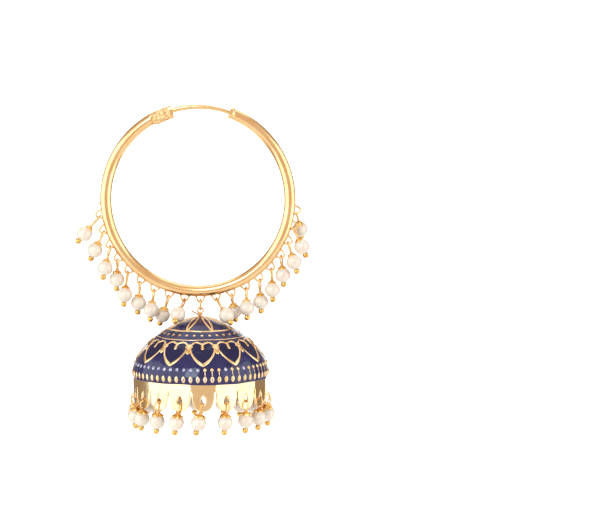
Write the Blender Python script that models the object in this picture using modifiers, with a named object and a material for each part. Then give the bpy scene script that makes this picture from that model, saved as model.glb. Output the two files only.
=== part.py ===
"""A hoop earring with an enamelled dome hanging from it, at its real size.

The ear wire's top is the origin, +Z points up, +X to the viewer's right and
-Y to the viewer. The hoop stands in the XZ plane. The dome hangs on a link
from the hoop's lowest loop, and pearl drops hang from the other loops and
from the scallops of the dome's rim.
"""
import math

import bmesh
import bpy
from mathutils import Matrix, Vector

MM = 0.001

# Clearances
RUNNING_GAP = 0.06 * MM
SEAT_GAP = 0.08 * MM
RESTING_GAP = 0.3 * MM

# Hoop tube
HOOP_RADIUS = 18.85 * MM
TUBE_DIAMETER = 2.3 * MM
TUBE_WALL = 0.3 * MM
CATCH_END_ANGLE = 69.7
HINGE_END_ANGLE = 106.0
HOOP_STEPS = 34
TUBE_SIDES = 10

# Pressed hinge end
PRESS_LENGTH = 5.2 * MM
PRESS_HEIGHT = 2.8 * MM
PRESS_THICKNESS = 1.7 * MM
PRESS_BLEND = 0.35

# Hinge pin and ear wire
PIN_DIAMETER = 0.5 * MM
PIN_SETBACK = 2.0 * MM
WIRE_HEIGHT = 1.15 * MM
WIRE_TIP_HEIGHT = 0.75 * MM
WIRE_FLATNESS = 0.7
WIRE_ENTRY = 1.6 * MM
WIRE_STEPS = 12
CATCH_SLOT_FLOOR = 0.35 * MM

# Wire loops on the hoop
LOOPS_PER_SIDE = 9
LOOPS_TURN = 1.2
LOOP_WIDTH = 2.1 * MM
LOOP_DEPTH = 1.35 * MM
LOOP_WIRE = 0.38 * MM
LOOP_SHAPE = 1.3
LOOP_STEPS = 6
LOOP_ROOT = 0.15 * MM
SEAT_STEPS = 24

# Pearl drops
PEARL_DIAMETER = 3.15 * MM
PEARL_SPACING = 0.05 * MM
BALL_DIAMETER = 1.25 * MM
BALL_SINK = 0.55 * MM
CAP_DIAMETER = 2.0 * MM
CAP_HEIGHT = 0.5 * MM
WRAP_DIAMETER = 0.72 * MM
WRAP_LENGTH = 0.3 * MM
EYE_WIRE = 0.35 * MM
EYE_WIDTH = 1.4 * MM
HOOP_EYE_HEIGHT = 2.35 * MM
RIM_EYE_WIDTH = 1.9 * MM
EYE_STEPS = 10
NECK_RISE = 0.07 * MM
PEARL_LATITUDES = (20, -25)
BALL_LATITUDE = -15
DROP_STEPS = 10

# Link and dome eye
LINK_HEIGHT = 2.5 * MM
LINK_WIDTH = 1.6 * MM
LINK_WIRE = 0.38 * MM
LINK_STEPS = 10
DOME_EYE_HEIGHT = 1.5 * MM
DOME_EYE_WIRE = 0.36 * MM
KNOT_DIAMETER = 1.0 * MM
KNOT_HEIGHT = 0.6 * MM
KNOT_NECK = 0.7 * MM
KNOT_RISE = 0.11 * MM
STEM_DIAMETER = 0.6 * MM
STOP_DIAMETER = 2.0 * MM
STOP_THICKNESS = 0.3 * MM
TAIL_LENGTH = 1.9 * MM
TAIL_RISE = 28.0
PIN_STEPS = 10

# Dome
DOME_DIAMETER = 28.0 * MM
DOME_WALL = 0.5 * MM
DOME_CROWN = 11.0 * MM
DOME_SKIRT = 2.8 * MM
DOME_ROUNDNESS = 1.6
DOME_TURN = 5.0
DOME_STEPS = 36
CROWN_STEPS = 7

# Scallops and their teardrop holes
SCALLOPS = 18
SCALLOP_LENGTH = 4.05 * MM
SCALLOP_ROUNDNESS = 4
SCALLOP_BLUNTNESS = 2.5
SLIT_WIDTH = 0.3 * MM
SLIT_SHARES = (0.0, 0.5, 0.8, 0.95, 0.995)
HOLE_WIDTH = 1.1 * MM
HOLE_HEIGHT = 2.2 * MM
HOLE_SETDOWN = 0.1 * MM
HOLE_TAPER = 1.2
HOLE_STEPS = 8
CUT_DEPTH = 3.0 * MM

GOLD = (0.83, 0.58, 0.24, 1.0)
PALE_GOLD = (0.90, 0.70, 0.38, 1.0)
ENAMEL = (0.02, 0.025, 0.12, 1.0)
PEARL = (0.93, 0.87, 0.78, 1.0)

# One row for each drop on the hoop, from the left to the right: the loop it
# hangs in, counted from the lowest one, how far it leans to the right and
# towards the viewer in degrees, the turn of its eye, and the height of its
# eye as a share of HOOP_EYE_HEIGHT.
HOOP_DROPS = (
    # loop, lean, forward, turn, eye
    (-9, -41, 5, 10, 1.40),
    (-8, -26.5, -6, -20, 1.20),
    (-7, -12.5, 6, 20, 1.32),
    (-6, -3.5, -6, -25, 1.12),
    (-5, -7, 6, 15, 1.40),
    (-4, -5.5, -9, -25, 1.26),
    (-3, -7.5, 8, 22, 1.10),
    (-2, -19, -19, -25, 1.30),
    (-1, -24, 48, 25, 1.24),
    (1, 34.5, 36, -20, 1.38),
    (2, 8, -27, 20, 1.10),
    (3, 2, 9, -25, 1.10),
    (4, 2.5, -8, 22, 1.36),
    (5, 2.5, 5, -20, 1.22),
    (6, 5.5, -5, 25, 1.04),
    (7, 17, 6, -22, 1.16),
    (8, 24, -5, 20, 1.20),
    (9, 12, -38, -10, 1.32),
)

# Lean of the drops round the rim in degrees, from the scallop that faces the
# viewer and on towards the right.
RIM_LEANS = (-14, -5, -4, -12, 6, -8, 10, 3, -6, 8, -4, 5, -9, 4, 7, -8, -6, -10)


def hoop_matrix(angle):
    """Frame on the tube's centreline: X clockwise, Y away, Z outward."""
    turn = math.radians(angle)
    outward = Vector((math.cos(turn), 0, math.sin(turn)))
    along = Vector((math.sin(turn), 0, -math.cos(turn)))
    place = hoop_centre() + outward * HOOP_RADIUS
    axes = Matrix((along, Vector((0, 1, 0)), outward)).transposed()
    return Matrix.Translation(place) @ axes.to_4x4()


def hoop_centre():
    """The ear wire's top is the origin, one hoop radius over the centre."""
    return Vector((0, 0, -HOOP_RADIUS))


def arc_angle(length):
    """Angle in degrees that a length takes along the hoop's centreline."""
    return math.degrees(length / HOOP_RADIUS)


def tube_radius():
    return TUBE_DIAMETER / 2


def pin_angle():
    return HINGE_END_ANGLE + arc_angle(PIN_SETBACK)


def loop_angle(loop):
    """Angle of a loop from straight down, in degrees, plus to the right."""
    pitch = PEARL_DIAMETER + PEARL_SPACING
    return LOOPS_TURN + math.degrees(loop * pitch / (HOOP_RADIUS + tube_radius()))


def loop_bottom():
    """Centre of the wire at the tip of the middle loop, the lowest one."""
    frame = hoop_matrix(loop_angle(0) - 90)
    return frame @ Vector((0, 0, tube_radius() + LOOP_DEPTH - LOOP_WIRE / 2))


def link_crown():
    """Centre of the link's wire where it lies over the lowest loop."""
    return seat_in_loop(0, LINK_WIRE)


def link_bottom():
    return link_crown() - Vector((0, 0, LINK_HEIGHT - LINK_WIRE))


def dome_eye_crown():
    lift = (LINK_WIRE + DOME_EYE_WIRE) / 2 + RUNNING_GAP
    return link_bottom() + Vector((0, 0, lift))


def dome_apex():
    """Top of the dome's outside, right under the knot of its eye."""
    fall = DOME_EYE_HEIGHT - DOME_EYE_WIRE + KNOT_HEIGHT
    return dome_eye_crown() - Vector((0, 0, fall))


def dome_profile(radius, crown, steps):
    """Points (radius, depth) of the crown, a superellipse, from the apex
    down to the upright wall."""
    power = 2 / DOME_ROUNDNESS
    points = []
    for step in range(steps + 1):
        angle = math.pi / 2 * step / steps
        out = radius * math.sin(angle) ** power
        down = crown * (1 - max(math.cos(angle), 0.0) ** power)
        points.append((out, down))
    return points


def crown_depth(out):
    """How far the crown's facets lie under the apex at a radius."""
    points = crown_points()
    for (near, top), (far, bottom) in zip(points, points[1:]):
        if near <= out <= far:
            return top + (bottom - top) * (out - near) / (far - near)
    return DOME_CROWN


def crown_points():
    return dome_profile(DOME_DIAMETER / 2, DOME_CROWN, CROWN_STEPS)


def new_collection(name):
    collection = bpy.data.collections.new(name)
    bpy.context.scene.collection.children.link(collection)
    return collection


def finish(name, colour, roughness, metallic):
    material = bpy.data.materials.new(name)
    material.use_nodes = True
    shader = material.node_tree.nodes["Principled BSDF"]
    shader.inputs["Base Color"].default_value = colour
    shader.inputs["Roughness"].default_value = roughness
    shader.inputs["Metallic"].default_value = metallic
    material.diffuse_color = colour
    return material


def add_part(name, mesh, material):
    """Link a finished mesh as a piece of the earring."""
    part = bpy.data.objects.new(name, mesh)
    mesh.materials.clear()
    mesh.materials.append(material)
    PARTS.objects.link(part)
    return part


def add_cutter(name, mesh):
    """Link a mesh that only cuts or joins another."""
    cutter = bpy.data.objects.new(name, mesh)
    cutter.hide_render = True
    cutter.display_type = "WIRE"
    CUTTERS.objects.link(cutter)
    return cutter


def boolean(part, other, operation):
    modifier = part.modifiers.new(operation.title(), "BOOLEAN")
    modifier.operation = operation
    modifier.solver = "EXACT"
    modifier.object = other


def evaluated_mesh(source):
    """Mesh of an object with its modifiers or bevel, its caps welded."""
    graph = bpy.context.evaluated_depsgraph_get()
    mesh = bpy.data.meshes.new_from_object(source.evaluated_get(graph))
    mesh.transform(source.matrix_world)
    work = bmesh.new()
    work.from_mesh(mesh)
    bmesh.ops.remove_doubles(work, verts=work.verts, dist=1e-7)
    bmesh.ops.recalc_face_normals(work, faces=work.faces)
    work.to_mesh(mesh)
    work.free()
    return mesh


def take_mesh(source):
    """The evaluated mesh of a helper object, which is then removed."""
    mesh = evaluated_mesh(source)
    bpy.data.objects.remove(source, do_unlink=True)
    return mesh


def wire_section(radius, sides):
    """A small closed polygon that a wire's curve is bevelled with."""
    curve = bpy.data.curves.new("section", "CURVE")
    spline = curve.splines.new("POLY")
    spline.points.add(sides - 1)
    for side, point in enumerate(spline.points):
        turn = 2 * math.pi * side / sides
        point.co = (radius * math.cos(turn), radius * math.sin(turn), 0, 1)
    spline.use_cyclic_u = True
    section = bpy.data.objects.new("section", curve)
    section.hide_render = True
    CUTTERS.objects.link(section)
    return section


def wire_mesh(paths, diameter, closed, sides=5, radii=None):
    """Mesh of bent wires: each path is a POLY spline with a round section."""
    section = wire_section(diameter / 2, sides)
    curve = bpy.data.curves.new("wire", "CURVE")
    curve.dimensions = "3D"
    curve.bevel_mode = "OBJECT"
    curve.bevel_object = section
    curve.use_fill_caps = not closed
    for path in paths:
        spline = curve.splines.new("POLY")
        spline.points.add(len(path) - 1)
        for index, place in enumerate(path):
            spline.points[index].co = (*place, 1)
            spline.points[index].radius = radii[index] if radii else 1
        spline.use_cyclic_u = closed
    bent = bpy.data.objects.new("wire", curve)
    CUTTERS.objects.link(bent)
    bpy.context.view_layer.update()
    mesh = take_mesh(bent)
    bpy.data.objects.remove(section, do_unlink=True)
    return mesh


def turned_mesh(profile, steps, start=0.0, sweep=360.0, closed=False):
    """Mesh of a profile of (radius, height) turned about Z with a Screw."""
    turn = Matrix.Rotation(math.radians(start), 4, "Z")
    mesh = bpy.data.meshes.new("profile")
    edges = [(index, index + 1) for index in range(len(profile) - 1)]
    if closed:
        edges.append((len(profile) - 1, 0))
    mesh.from_pydata([turn @ Vector((r, 0, z)) for r, z in profile], edges, [])
    turned = bpy.data.objects.new("turned", mesh)
    CUTTERS.objects.link(turned)
    screw = turned.modifiers.new("Turn", "SCREW")
    screw.angle = math.radians(sweep)
    screw.steps = steps
    screw.render_steps = steps
    screw.use_merge_vertices = sweep == 360.0
    screw.merge_threshold = 1e-7
    bpy.context.view_layer.update()
    return take_mesh(turned)


def oval_path(height, width, steps, plane):
    """Closed loop with round ends from its crown at the origin down, in
    plane XZ or YZ. A flat of the round end lies at the crown."""
    end = width / 2
    straight = height / 2 - end
    path = []
    for step in range(steps):
        turn = 2 * math.pi * (step + 0.5) / steps
        rise = end * math.cos(turn) / math.cos(math.pi / steps)
        if abs(rise) > end * 0.01:
            rise += math.copysign(straight, rise)
        side = end * math.sin(turn)
        down = rise - height / 2
        path.append((side, 0, down) if plane == "XZ" else (0, side, down))
    return path


def joined_mesh(meshes):
    """One mesh that holds several closed bodies."""
    work = bmesh.new()
    for mesh in meshes:
        work.from_mesh(mesh)
        bpy.data.meshes.remove(mesh)
    joined = bpy.data.meshes.new("joined")
    work.to_mesh(joined)
    work.free()
    return joined


def united_mesh(body, extras):
    """One closed body: the extras are joined to it with a Boolean union."""
    base = add_cutter("base", body)
    tools = [add_cutter("tool", mesh) for mesh in extras]
    for tool in tools:
        boolean(base, tool, "UNION")
    bpy.context.view_layer.update()
    mesh = take_mesh(base)
    for tool in tools:
        bpy.data.objects.remove(tool, do_unlink=True)
    return mesh


def cylinder_mesh(diameter, length, sides, matrix):
    work = bmesh.new()
    bmesh.ops.create_cone(
        work, cap_ends=True, segments=sides, radius1=diameter / 2,
        radius2=diameter / 2, depth=length, matrix=matrix)
    mesh = bpy.data.meshes.new("cylinder")
    work.to_mesh(mesh)
    work.free()
    return mesh


def box_mesh(low, high, matrix):
    """Box between two corners given in the frame of the matrix."""
    middle = (Vector(low) + Vector(high)) / 2
    size = Vector(high) - Vector(low)
    work = bmesh.new()
    place = matrix @ Matrix.Translation(middle) @ Matrix.Diagonal((*size, 1))
    bmesh.ops.create_cube(work, size=1, matrix=place)
    mesh = bpy.data.meshes.new("box")
    work.to_mesh(mesh)
    work.free()
    return mesh


def outline_mesh(points, depth):
    """A flat outline in the XZ plane, as thick as depth along Y."""
    curve = bpy.data.curves.new("outline", "CURVE")
    curve.dimensions = "2D"
    curve.fill_mode = "BOTH"
    curve.extrude = depth / 2
    spline = curve.splines.new("POLY")
    spline.points.add(len(points) - 1)
    for index, (across, up) in enumerate(points):
        spline.points[index].co = (across, up, 0, 1)
    spline.use_cyclic_u = True
    outline = bpy.data.objects.new("outline", curve)
    outline.rotation_euler = (math.pi / 2, 0, 0)
    CUTTERS.objects.link(outline)
    bpy.context.view_layer.update()
    return take_mesh(outline)


def smooth(part):
    part.data.shade_smooth()
    part.data.set_sharp_from_angle(angle=math.radians(40))


def press_share(angle):
    """How far the tube is pressed flat at an angle along the hoop: fully
    at the hinge end, not at all past the pressed length."""
    share = (HINGE_END_ANGLE + arc_angle(PRESS_LENGTH) - angle)
    share = min(max(share / (arc_angle(PRESS_LENGTH) * PRESS_BLEND), 0.0), 1.0)
    return share * share * (3 - 2 * share)


def press_hinge_end(mesh):
    """Flatten the tube's end, which spreads it towards the hoop's inside."""
    centre = hoop_centre()
    for vertex in mesh.vertices:
        arm = vertex.co - centre
        angle = math.degrees(math.atan2(arm.z, arm.x)) % 360
        share = press_share(angle) if angle > HINGE_END_ANGLE - 1 else 0.0
        outward = Vector((arm.x, 0, arm.z)).normalized()
        rise = arm.dot(outward) - HOOP_RADIUS
        spread = 1 + share * (PRESS_HEIGHT / TUBE_DIAMETER - 1)
        inward = share * (PRESS_HEIGHT - TUBE_DIAMETER) / 2
        flat = 1 + share * (PRESS_THICKNESS / TUBE_DIAMETER - 1)
        place = centre + outward * (HOOP_RADIUS + rise * spread - inward)
        vertex.co = (place.x, arm.y * flat, place.z)


def tube_mesh():
    """The hoop's outer surface: a circle turned about the hoop's axis."""
    profile = []
    for side in range(TUBE_SIDES):
        turn = 2 * math.pi * side / TUBE_SIDES
        out = HOOP_RADIUS + tube_radius() * math.cos(turn)
        profile.append((out, -tube_radius() * math.sin(turn)))
    sweep = 360 - HINGE_END_ANGLE + CATCH_END_ANGLE
    mesh = turned_mesh(profile, HOOP_STEPS, HINGE_END_ANGLE, sweep, closed=True)
    mesh.transform(Matrix.Translation(hoop_centre()) @ Matrix.Rotation(math.pi / 2, 4, "X"))
    return mesh


def loop_path(loop):
    """Centreline of a loop: a rounded V with both feet in the tube's wall."""
    half_width = (LOOP_WIDTH - LOOP_WIRE) / 2
    depth = LOOP_DEPTH - LOOP_WIRE / 2 + LOOP_ROOT
    frame = hoop_matrix(loop_angle(loop) - 90)
    path = []
    for step in range(LOOP_STEPS + 1):
        turn = math.pi * step / LOOP_STEPS
        rise = depth * math.sin(turn) ** LOOP_SHAPE - LOOP_ROOT
        place = (half_width * math.cos(turn), 0, tube_radius() + rise)
        path.append(frame @ Vector(place))
    return path


def loop_places(loop):
    """Places along a loop's centreline, closer together than its corners."""
    path = loop_path(loop)
    places = []
    for start, end in zip(path, path[1:]):
        places.extend(start.lerp(end, step / 8) for step in range(8))
    return places


def seat_in_loop(loop, wire):
    """Centre of a wire that runs across the hoop's plane and lies in a loop
    as low as it can, clear of the loop's wire and of the tube."""
    clear = (LOOP_WIRE + wire) / 2 + SEAT_GAP
    lowest_out = wire / 2 + SEAT_GAP
    half_width = (LOOP_WIDTH - LOOP_WIRE) / 2
    frame = hoop_matrix(loop_angle(loop) - 90)
    places = loop_places(loop)
    seats = []
    for column in range(-SEAT_STEPS, SEAT_STEPS + 1):
        for row in range(SEAT_STEPS + 1):
            across = half_width * column / SEAT_STEPS
            out = lowest_out + (LOOP_DEPTH - lowest_out) * row / SEAT_STEPS
            seat = frame @ Vector((across, 0, tube_radius() + out))
            if min((place - seat).length for place in places) >= clear:
                seats.append(seat)
    inside = [seat for seat in seats if is_inside_loop(loop, seat)]
    return min(inside, key=lambda seat: seat.z)


def is_inside_loop(loop, place):
    """Whether a place lies between a loop's wire and the tube."""
    local = hoop_matrix(loop_angle(loop) - 90).inverted() @ place
    half_width = (LOOP_WIDTH - LOOP_WIRE) / 2
    share = 1 - min(abs(local.x) / half_width, 1.0) ** 2
    edge = (LOOP_DEPTH - LOOP_WIRE / 2) * share ** (LOOP_SHAPE / 2)
    return local.z < tube_radius() + edge


def build_hoop(material):
    mesh = tube_mesh()
    press_hinge_end(mesh)
    hoop = add_part("hoop", mesh, material)
    wall = hoop.modifiers.new("Wall", "SOLIDIFY")
    wall.thickness = TUBE_WALL
    wall.offset = -1
    wall.use_even_offset = True

    pin_frame = hoop_matrix(pin_angle())
    catch_frame = hoop_matrix(CATCH_END_ANGLE)
    thickness = WIRE_HEIGHT * WIRE_FLATNESS + 2 * RUNNING_GAP
    tip_thickness = WIRE_TIP_HEIGHT * WIRE_FLATNESS + 4 * RUNNING_GAP
    past_pin = WIRE_HEIGHT / math.sqrt(2) + 2 * RUNNING_GAP
    pressed_middle = (TUBE_DIAMETER - PRESS_HEIGHT) / 2
    slots = [
        box_mesh((-past_pin, -thickness / 2, pressed_middle),
                 (2 * PIN_SETBACK, thickness / 2, 2 * TUBE_DIAMETER), pin_frame),
        box_mesh((-WIRE_ENTRY, -tip_thickness / 2, CATCH_SLOT_FLOOR),
                 (WIRE_ENTRY + 4 * RUNNING_GAP, tip_thickness / 2, 2 * TUBE_DIAMETER),
                 catch_frame),
    ]
    hole = cylinder_mesh(
        PIN_DIAMETER + 2 * RUNNING_GAP, 2 * TUBE_DIAMETER, 12,
        pin_frame @ Matrix.Rotation(math.pi / 2, 4, "X"))
    boolean(hoop, add_cutter("hoop_slots", joined_mesh(slots)), "DIFFERENCE")
    boolean(hoop, add_cutter("hinge_pin_hole", hole), "DIFFERENCE")
    paths = [loop_path(loop) for loop in range(-LOOPS_PER_SIDE, LOOPS_PER_SIDE + 1)]
    loops = wire_mesh(paths, LOOP_WIRE, closed=False)
    boolean(hoop, add_cutter("hoop_loops", loops), "UNION")
    smooth(hoop)
    return hoop


def build_hinge_pin(material):
    length = PRESS_THICKNESS + 2 * RUNNING_GAP
    frame = Matrix.Rotation(math.pi / 2, 4, "X")
    pin = add_part("hinge_pin", cylinder_mesh(PIN_DIAMETER, length, 12, frame), material)
    pin.location = hoop_matrix(pin_angle()).translation
    smooth(pin)
    return pin


def build_ear_wire(material):
    """The wire follows the hoop's circle from behind its pin to its tip."""
    tail = pin_angle() + arc_angle(WIRE_HEIGHT / 2)
    tip = CATCH_END_ANGLE - arc_angle(WIRE_ENTRY)
    path = []
    radii = []
    for step in range(WIRE_STEPS + 1):
        share = step / WIRE_STEPS
        path.append(hoop_matrix(tail + (tip - tail) * share).translation)
        radii.append(1 + share * (WIRE_TIP_HEIGHT / WIRE_HEIGHT - 1))
    mesh = wire_mesh([path], WIRE_HEIGHT, closed=False, sides=8, radii=radii)
    mesh.transform(Matrix.Diagonal((1, WIRE_FLATNESS, 1, 1)))
    pivot = hoop_matrix(pin_angle()).translation
    mesh.transform(Matrix.Translation(-pivot))
    wire = add_part("ear_wire", mesh, material)
    wire.location = pivot
    frame = Matrix.Rotation(math.pi / 2, 4, "X")
    hole = add_cutter("ear_wire_hole", cylinder_mesh(
        PIN_DIAMETER + 2 * RUNNING_GAP, 2 * WIRE_HEIGHT, 12, frame))
    hole.location = pivot
    boolean(wire, hole, "DIFFERENCE")
    smooth(wire)
    return wire


def drop_mesh(eye_height, eye_width):
    """A drop from its eye's crown down: eye, wrapped neck, cap, pearl, ball.

    Both eye sizes are outer sizes. The eye lies in the YZ plane.
    """
    pearl = PEARL_DIAMETER / 2
    ball = BALL_DIAMETER / 2
    cap = CAP_DIAMETER / 2
    eye_bottom = -(eye_height - EYE_WIRE)
    wrap_bottom = eye_bottom - WRAP_LENGTH
    cap_bottom = wrap_bottom - CAP_HEIGHT
    centre = cap_bottom - math.sqrt(pearl ** 2 - cap ** 2)
    ball_centre = centre - pearl - ball + BALL_SINK / 2
    apart = centre - ball_centre
    waist_down = (apart ** 2 + pearl ** 2 - ball ** 2) / (2 * apart)
    waist = math.sqrt(pearl ** 2 - waist_down ** 2)
    profile = [(0, eye_bottom + NECK_RISE), (WRAP_DIAMETER / 2, wrap_bottom),
               (cap, cap_bottom)]
    for latitude in PEARL_LATITUDES:
        turn = math.radians(latitude)
        profile.append((pearl * math.cos(turn), centre + pearl * math.sin(turn)))
    profile.append((waist, centre - waist_down))
    turn = math.radians(BALL_LATITUDE)
    profile.append((ball * math.cos(turn), ball_centre + ball * math.sin(turn)))
    profile.append((0, ball_centre - ball))
    body = turned_mesh(profile, DROP_STEPS)
    path = oval_path(eye_height - EYE_WIRE, eye_width - EYE_WIRE, EYE_STEPS, "YZ")
    eye = wire_mesh([path], EYE_WIRE, closed=True)
    return united_mesh(body, [eye]), centre, ball_centre


def side_of(down, across, turn):
    """Direction in which an eye's crown runs: across, turned about the
    drop's axis by an angle in degrees."""
    side = (across - down * across.dot(down)).normalized()
    return Matrix.Rotation(math.radians(turn), 3, down) @ side


def place_drop(name, mesh, crown, down, side, material):
    """Hang a drop at its crown, its axis along down and its eye along side."""
    axes = Matrix((down.cross(side), side, -down)).transposed().to_4x4()
    drop = add_part(name, mesh, material)
    drop.matrix_world = Matrix.Translation(crown) @ axes
    smooth(drop)
    return drop


def tipped_crown(loop, forward):
    """Crown of an eye that tips forward about the wire of its loop."""
    seat = seat_in_loop(loop, EYE_WIRE)
    under = min(loop_places(loop), key=lambda place: (place - seat).length)
    arm = seat - under
    tip = math.radians(forward)
    return under + arm * math.cos(tip) + Vector((0, arm.length * math.sin(tip), 0))


def lean_direction(lean, forward):
    """Downward direction of a drop that leans right and to the viewer."""
    sideways = math.radians(lean)
    ahead = math.radians(forward)
    return Vector((math.sin(sideways) * math.cos(ahead), -math.sin(ahead),
                   -math.cos(sideways) * math.cos(ahead)))


def clear_of_dome(place, radius):
    """Whether a ball of a radius keeps the resting gap over the dome."""
    from_apex = place - dome_apex()
    out = math.hypot(from_apex.x, from_apex.y)
    surface = dome_profile(DOME_DIAMETER / 2, DOME_CROWN, 4 * CROWN_STEPS)
    nearest = min(math.hypot(out - r, -from_apex.z - down) for r, down in surface)
    return nearest > radius + RESTING_GAP


def settle(loop, lean, forward, pearl_centre, ball_centre):
    """Crown and direction of a drop, tipped further the way it tips until
    its pearl and its ball clear the dome."""
    step = 1 if forward > 0 else -1
    while True:
        crown = tipped_crown(loop, forward)
        down = lean_direction(lean, forward)
        pearl_clear = clear_of_dome(crown - down * pearl_centre, PEARL_DIAMETER / 2)
        ball_clear = clear_of_dome(crown - down * ball_centre, BALL_DIAMETER / 2)
        if abs(forward) > 80 or pearl_clear and ball_clear:
            return crown, down
        forward += step


def build_hoop_drops(material):
    """Each eye lies over its loop's wire, in a plane that holds the hoop's
    axis and the drop's own, before its turn."""
    for number, (loop, lean, forward, turn, eye) in enumerate(HOOP_DROPS, 1):
        mesh, pearl_centre, ball_centre = drop_mesh(eye * HOOP_EYE_HEIGHT, EYE_WIDTH)
        crown, down = settle(loop, lean, forward, pearl_centre, ball_centre)
        side = side_of(down, Vector((0, 1, 0)), turn)
        place_drop(f"hoop_drop_{number:02d}", mesh, crown, down, side, material)


def build_link(material):
    path = oval_path(LINK_HEIGHT - LINK_WIRE, LINK_WIDTH - LINK_WIRE, LINK_STEPS, "YZ")
    link = add_part("dome_link", wire_mesh([path], LINK_WIRE, closed=True), material)
    link.matrix_world = Matrix.Translation(link_crown())
    smooth(link)
    return link


def build_dome_eye_pin(material):
    """Eye over a twisted knot, the wire's tail, and a stem with a stop."""
    knot = KNOT_DIAMETER / 2
    stem = STEM_DIAMETER / 2
    stop = STOP_DIAMETER / 2
    stop_top = -DOME_WALL - SEAT_GAP - crown_depth(stop)
    shoulder = (KNOT_HEIGHT + SEAT_GAP) / 2
    profile = [
        (0, KNOT_HEIGHT + KNOT_RISE), (KNOT_NECK / 2, shoulder),
        (knot, shoulder / 2), (knot, SEAT_GAP), (stem, SEAT_GAP),
        (stem, stop_top), (stop, stop_top), (stop, stop_top - STOP_THICKNESS),
        (0, stop_top - STOP_THICKNESS)]
    body = turned_mesh(profile, PIN_STEPS)
    eye_path = oval_path(DOME_EYE_HEIGHT - DOME_EYE_WIRE,
                         DOME_EYE_HEIGHT - DOME_EYE_WIRE, EYE_STEPS, "XZ")
    eye = wire_mesh([eye_path], DOME_EYE_WIRE, closed=True)
    eye.transform(Matrix.Translation(
        (0, 0, KNOT_HEIGHT + DOME_EYE_HEIGHT - DOME_EYE_WIRE)))
    rise = math.radians(TAIL_RISE)
    start = Vector((-knot / 2, -knot / 2, KNOT_HEIGHT / 2))
    reach = Vector((-math.cos(rise), 0, math.sin(rise))) * TAIL_LENGTH
    tail = wire_mesh([[start, start + reach]], DOME_EYE_WIRE, closed=False)
    pin = add_part("dome_eye_pin", united_mesh(body, [eye, tail]), material)
    pin.location = dome_apex()
    smooth(pin)
    return pin


def scallop_half_width(share):
    """Half a scallop's width at a share of its length, 0 where the slit
    starts: nearly straight sides that round into the bottom."""
    full = (scallop_pitch() - SLIT_WIDTH) / 2
    return full * (1 - share ** SCALLOP_ROUNDNESS) ** (1 / SCALLOP_BLUNTNESS)


def scallop_pitch():
    return math.pi * DOME_DIAMETER / SCALLOPS


def slit_points():
    """Outline between two scallops, from the slit's top to under the rim."""
    top = -(DOME_CROWN + DOME_SKIRT)
    right = []
    for share in SLIT_SHARES:
        gap = scallop_pitch() / 2 - scallop_half_width(share)
        right.append((gap, top - SCALLOP_LENGTH * share))
    right.append((right[-1][0], top - SCALLOP_LENGTH - DOME_WALL))
    left = [(-across, up) for across, up in reversed(right)]
    return right + left


def hole_points():
    """Teardrop outline with its narrow end up and a short flat below."""
    middle = hole_top() - HOLE_HEIGHT / 2
    turns = [2 * math.pi * (step + 0.5) / HOLE_STEPS for step in range(HOLE_STEPS)]
    shape = [math.sin(turn) * math.sin(turn / 2) ** HOLE_TAPER for turn in turns]
    points = []
    for turn, across in zip(turns, shape):
        up = HOLE_HEIGHT / 2 * math.cos(turn) / math.cos(math.pi / HOLE_STEPS)
        points.append((HOLE_WIDTH / 2 * across / max(shape), middle + up))
    return points


def hole_top():
    return -(DOME_CROWN + DOME_SKIRT) - HOLE_SETDOWN


def scallop_angle(number):
    """Angle of a scallop about the dome's axis, from the one that faces -Y."""
    return 2 * math.pi * number / SCALLOPS


def dome_cuts():
    """Every slit and teardrop hole of the rim and the hole for the stem at
    the top, as one cutter."""
    wall_middle = Vector((0, -DOME_DIAMETER / 2, 0))
    slit = outline_mesh(slit_points(), CUT_DEPTH)
    hole = outline_mesh(hole_points(), CUT_DEPTH)
    stem_hole = STEM_DIAMETER + 2 * RUNNING_GAP
    meshes = [cylinder_mesh(stem_hole, 4 * DOME_WALL, PIN_STEPS, Matrix.Identity(4))]
    for number in range(SCALLOPS):
        for outline, offset in ((slit, 0.5), (hole, 0.0)):
            copy = outline.copy()
            turn = Matrix.Rotation(scallop_angle(number + offset), 4, "Z")
            copy.transform(turn @ Matrix.Translation(wall_middle))
            meshes.append(copy)
    return joined_mesh(meshes)


def build_dome(material):
    profile = [(out, -down) for out, down in crown_points()]
    profile.append((DOME_DIAMETER / 2, -(DOME_CROWN + DOME_SKIRT + SCALLOP_LENGTH)))
    half_step = 180 / DOME_STEPS
    mesh = turned_mesh(profile, DOME_STEPS, start=half_step)
    dome = add_part("dome", mesh, material)
    wall = dome.modifiers.new("Wall", "SOLIDIFY")
    wall.thickness = DOME_WALL
    wall.offset = -1
    wall.use_even_offset = True
    cuts = add_cutter("dome_cuts", dome_cuts())
    boolean(dome, cuts, "DIFFERENCE")
    for item in (dome, cuts):
        item.location = dome_apex()
        item.rotation_euler = (0, 0, math.radians(DOME_TURN))
    smooth(dome)
    return dome


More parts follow.
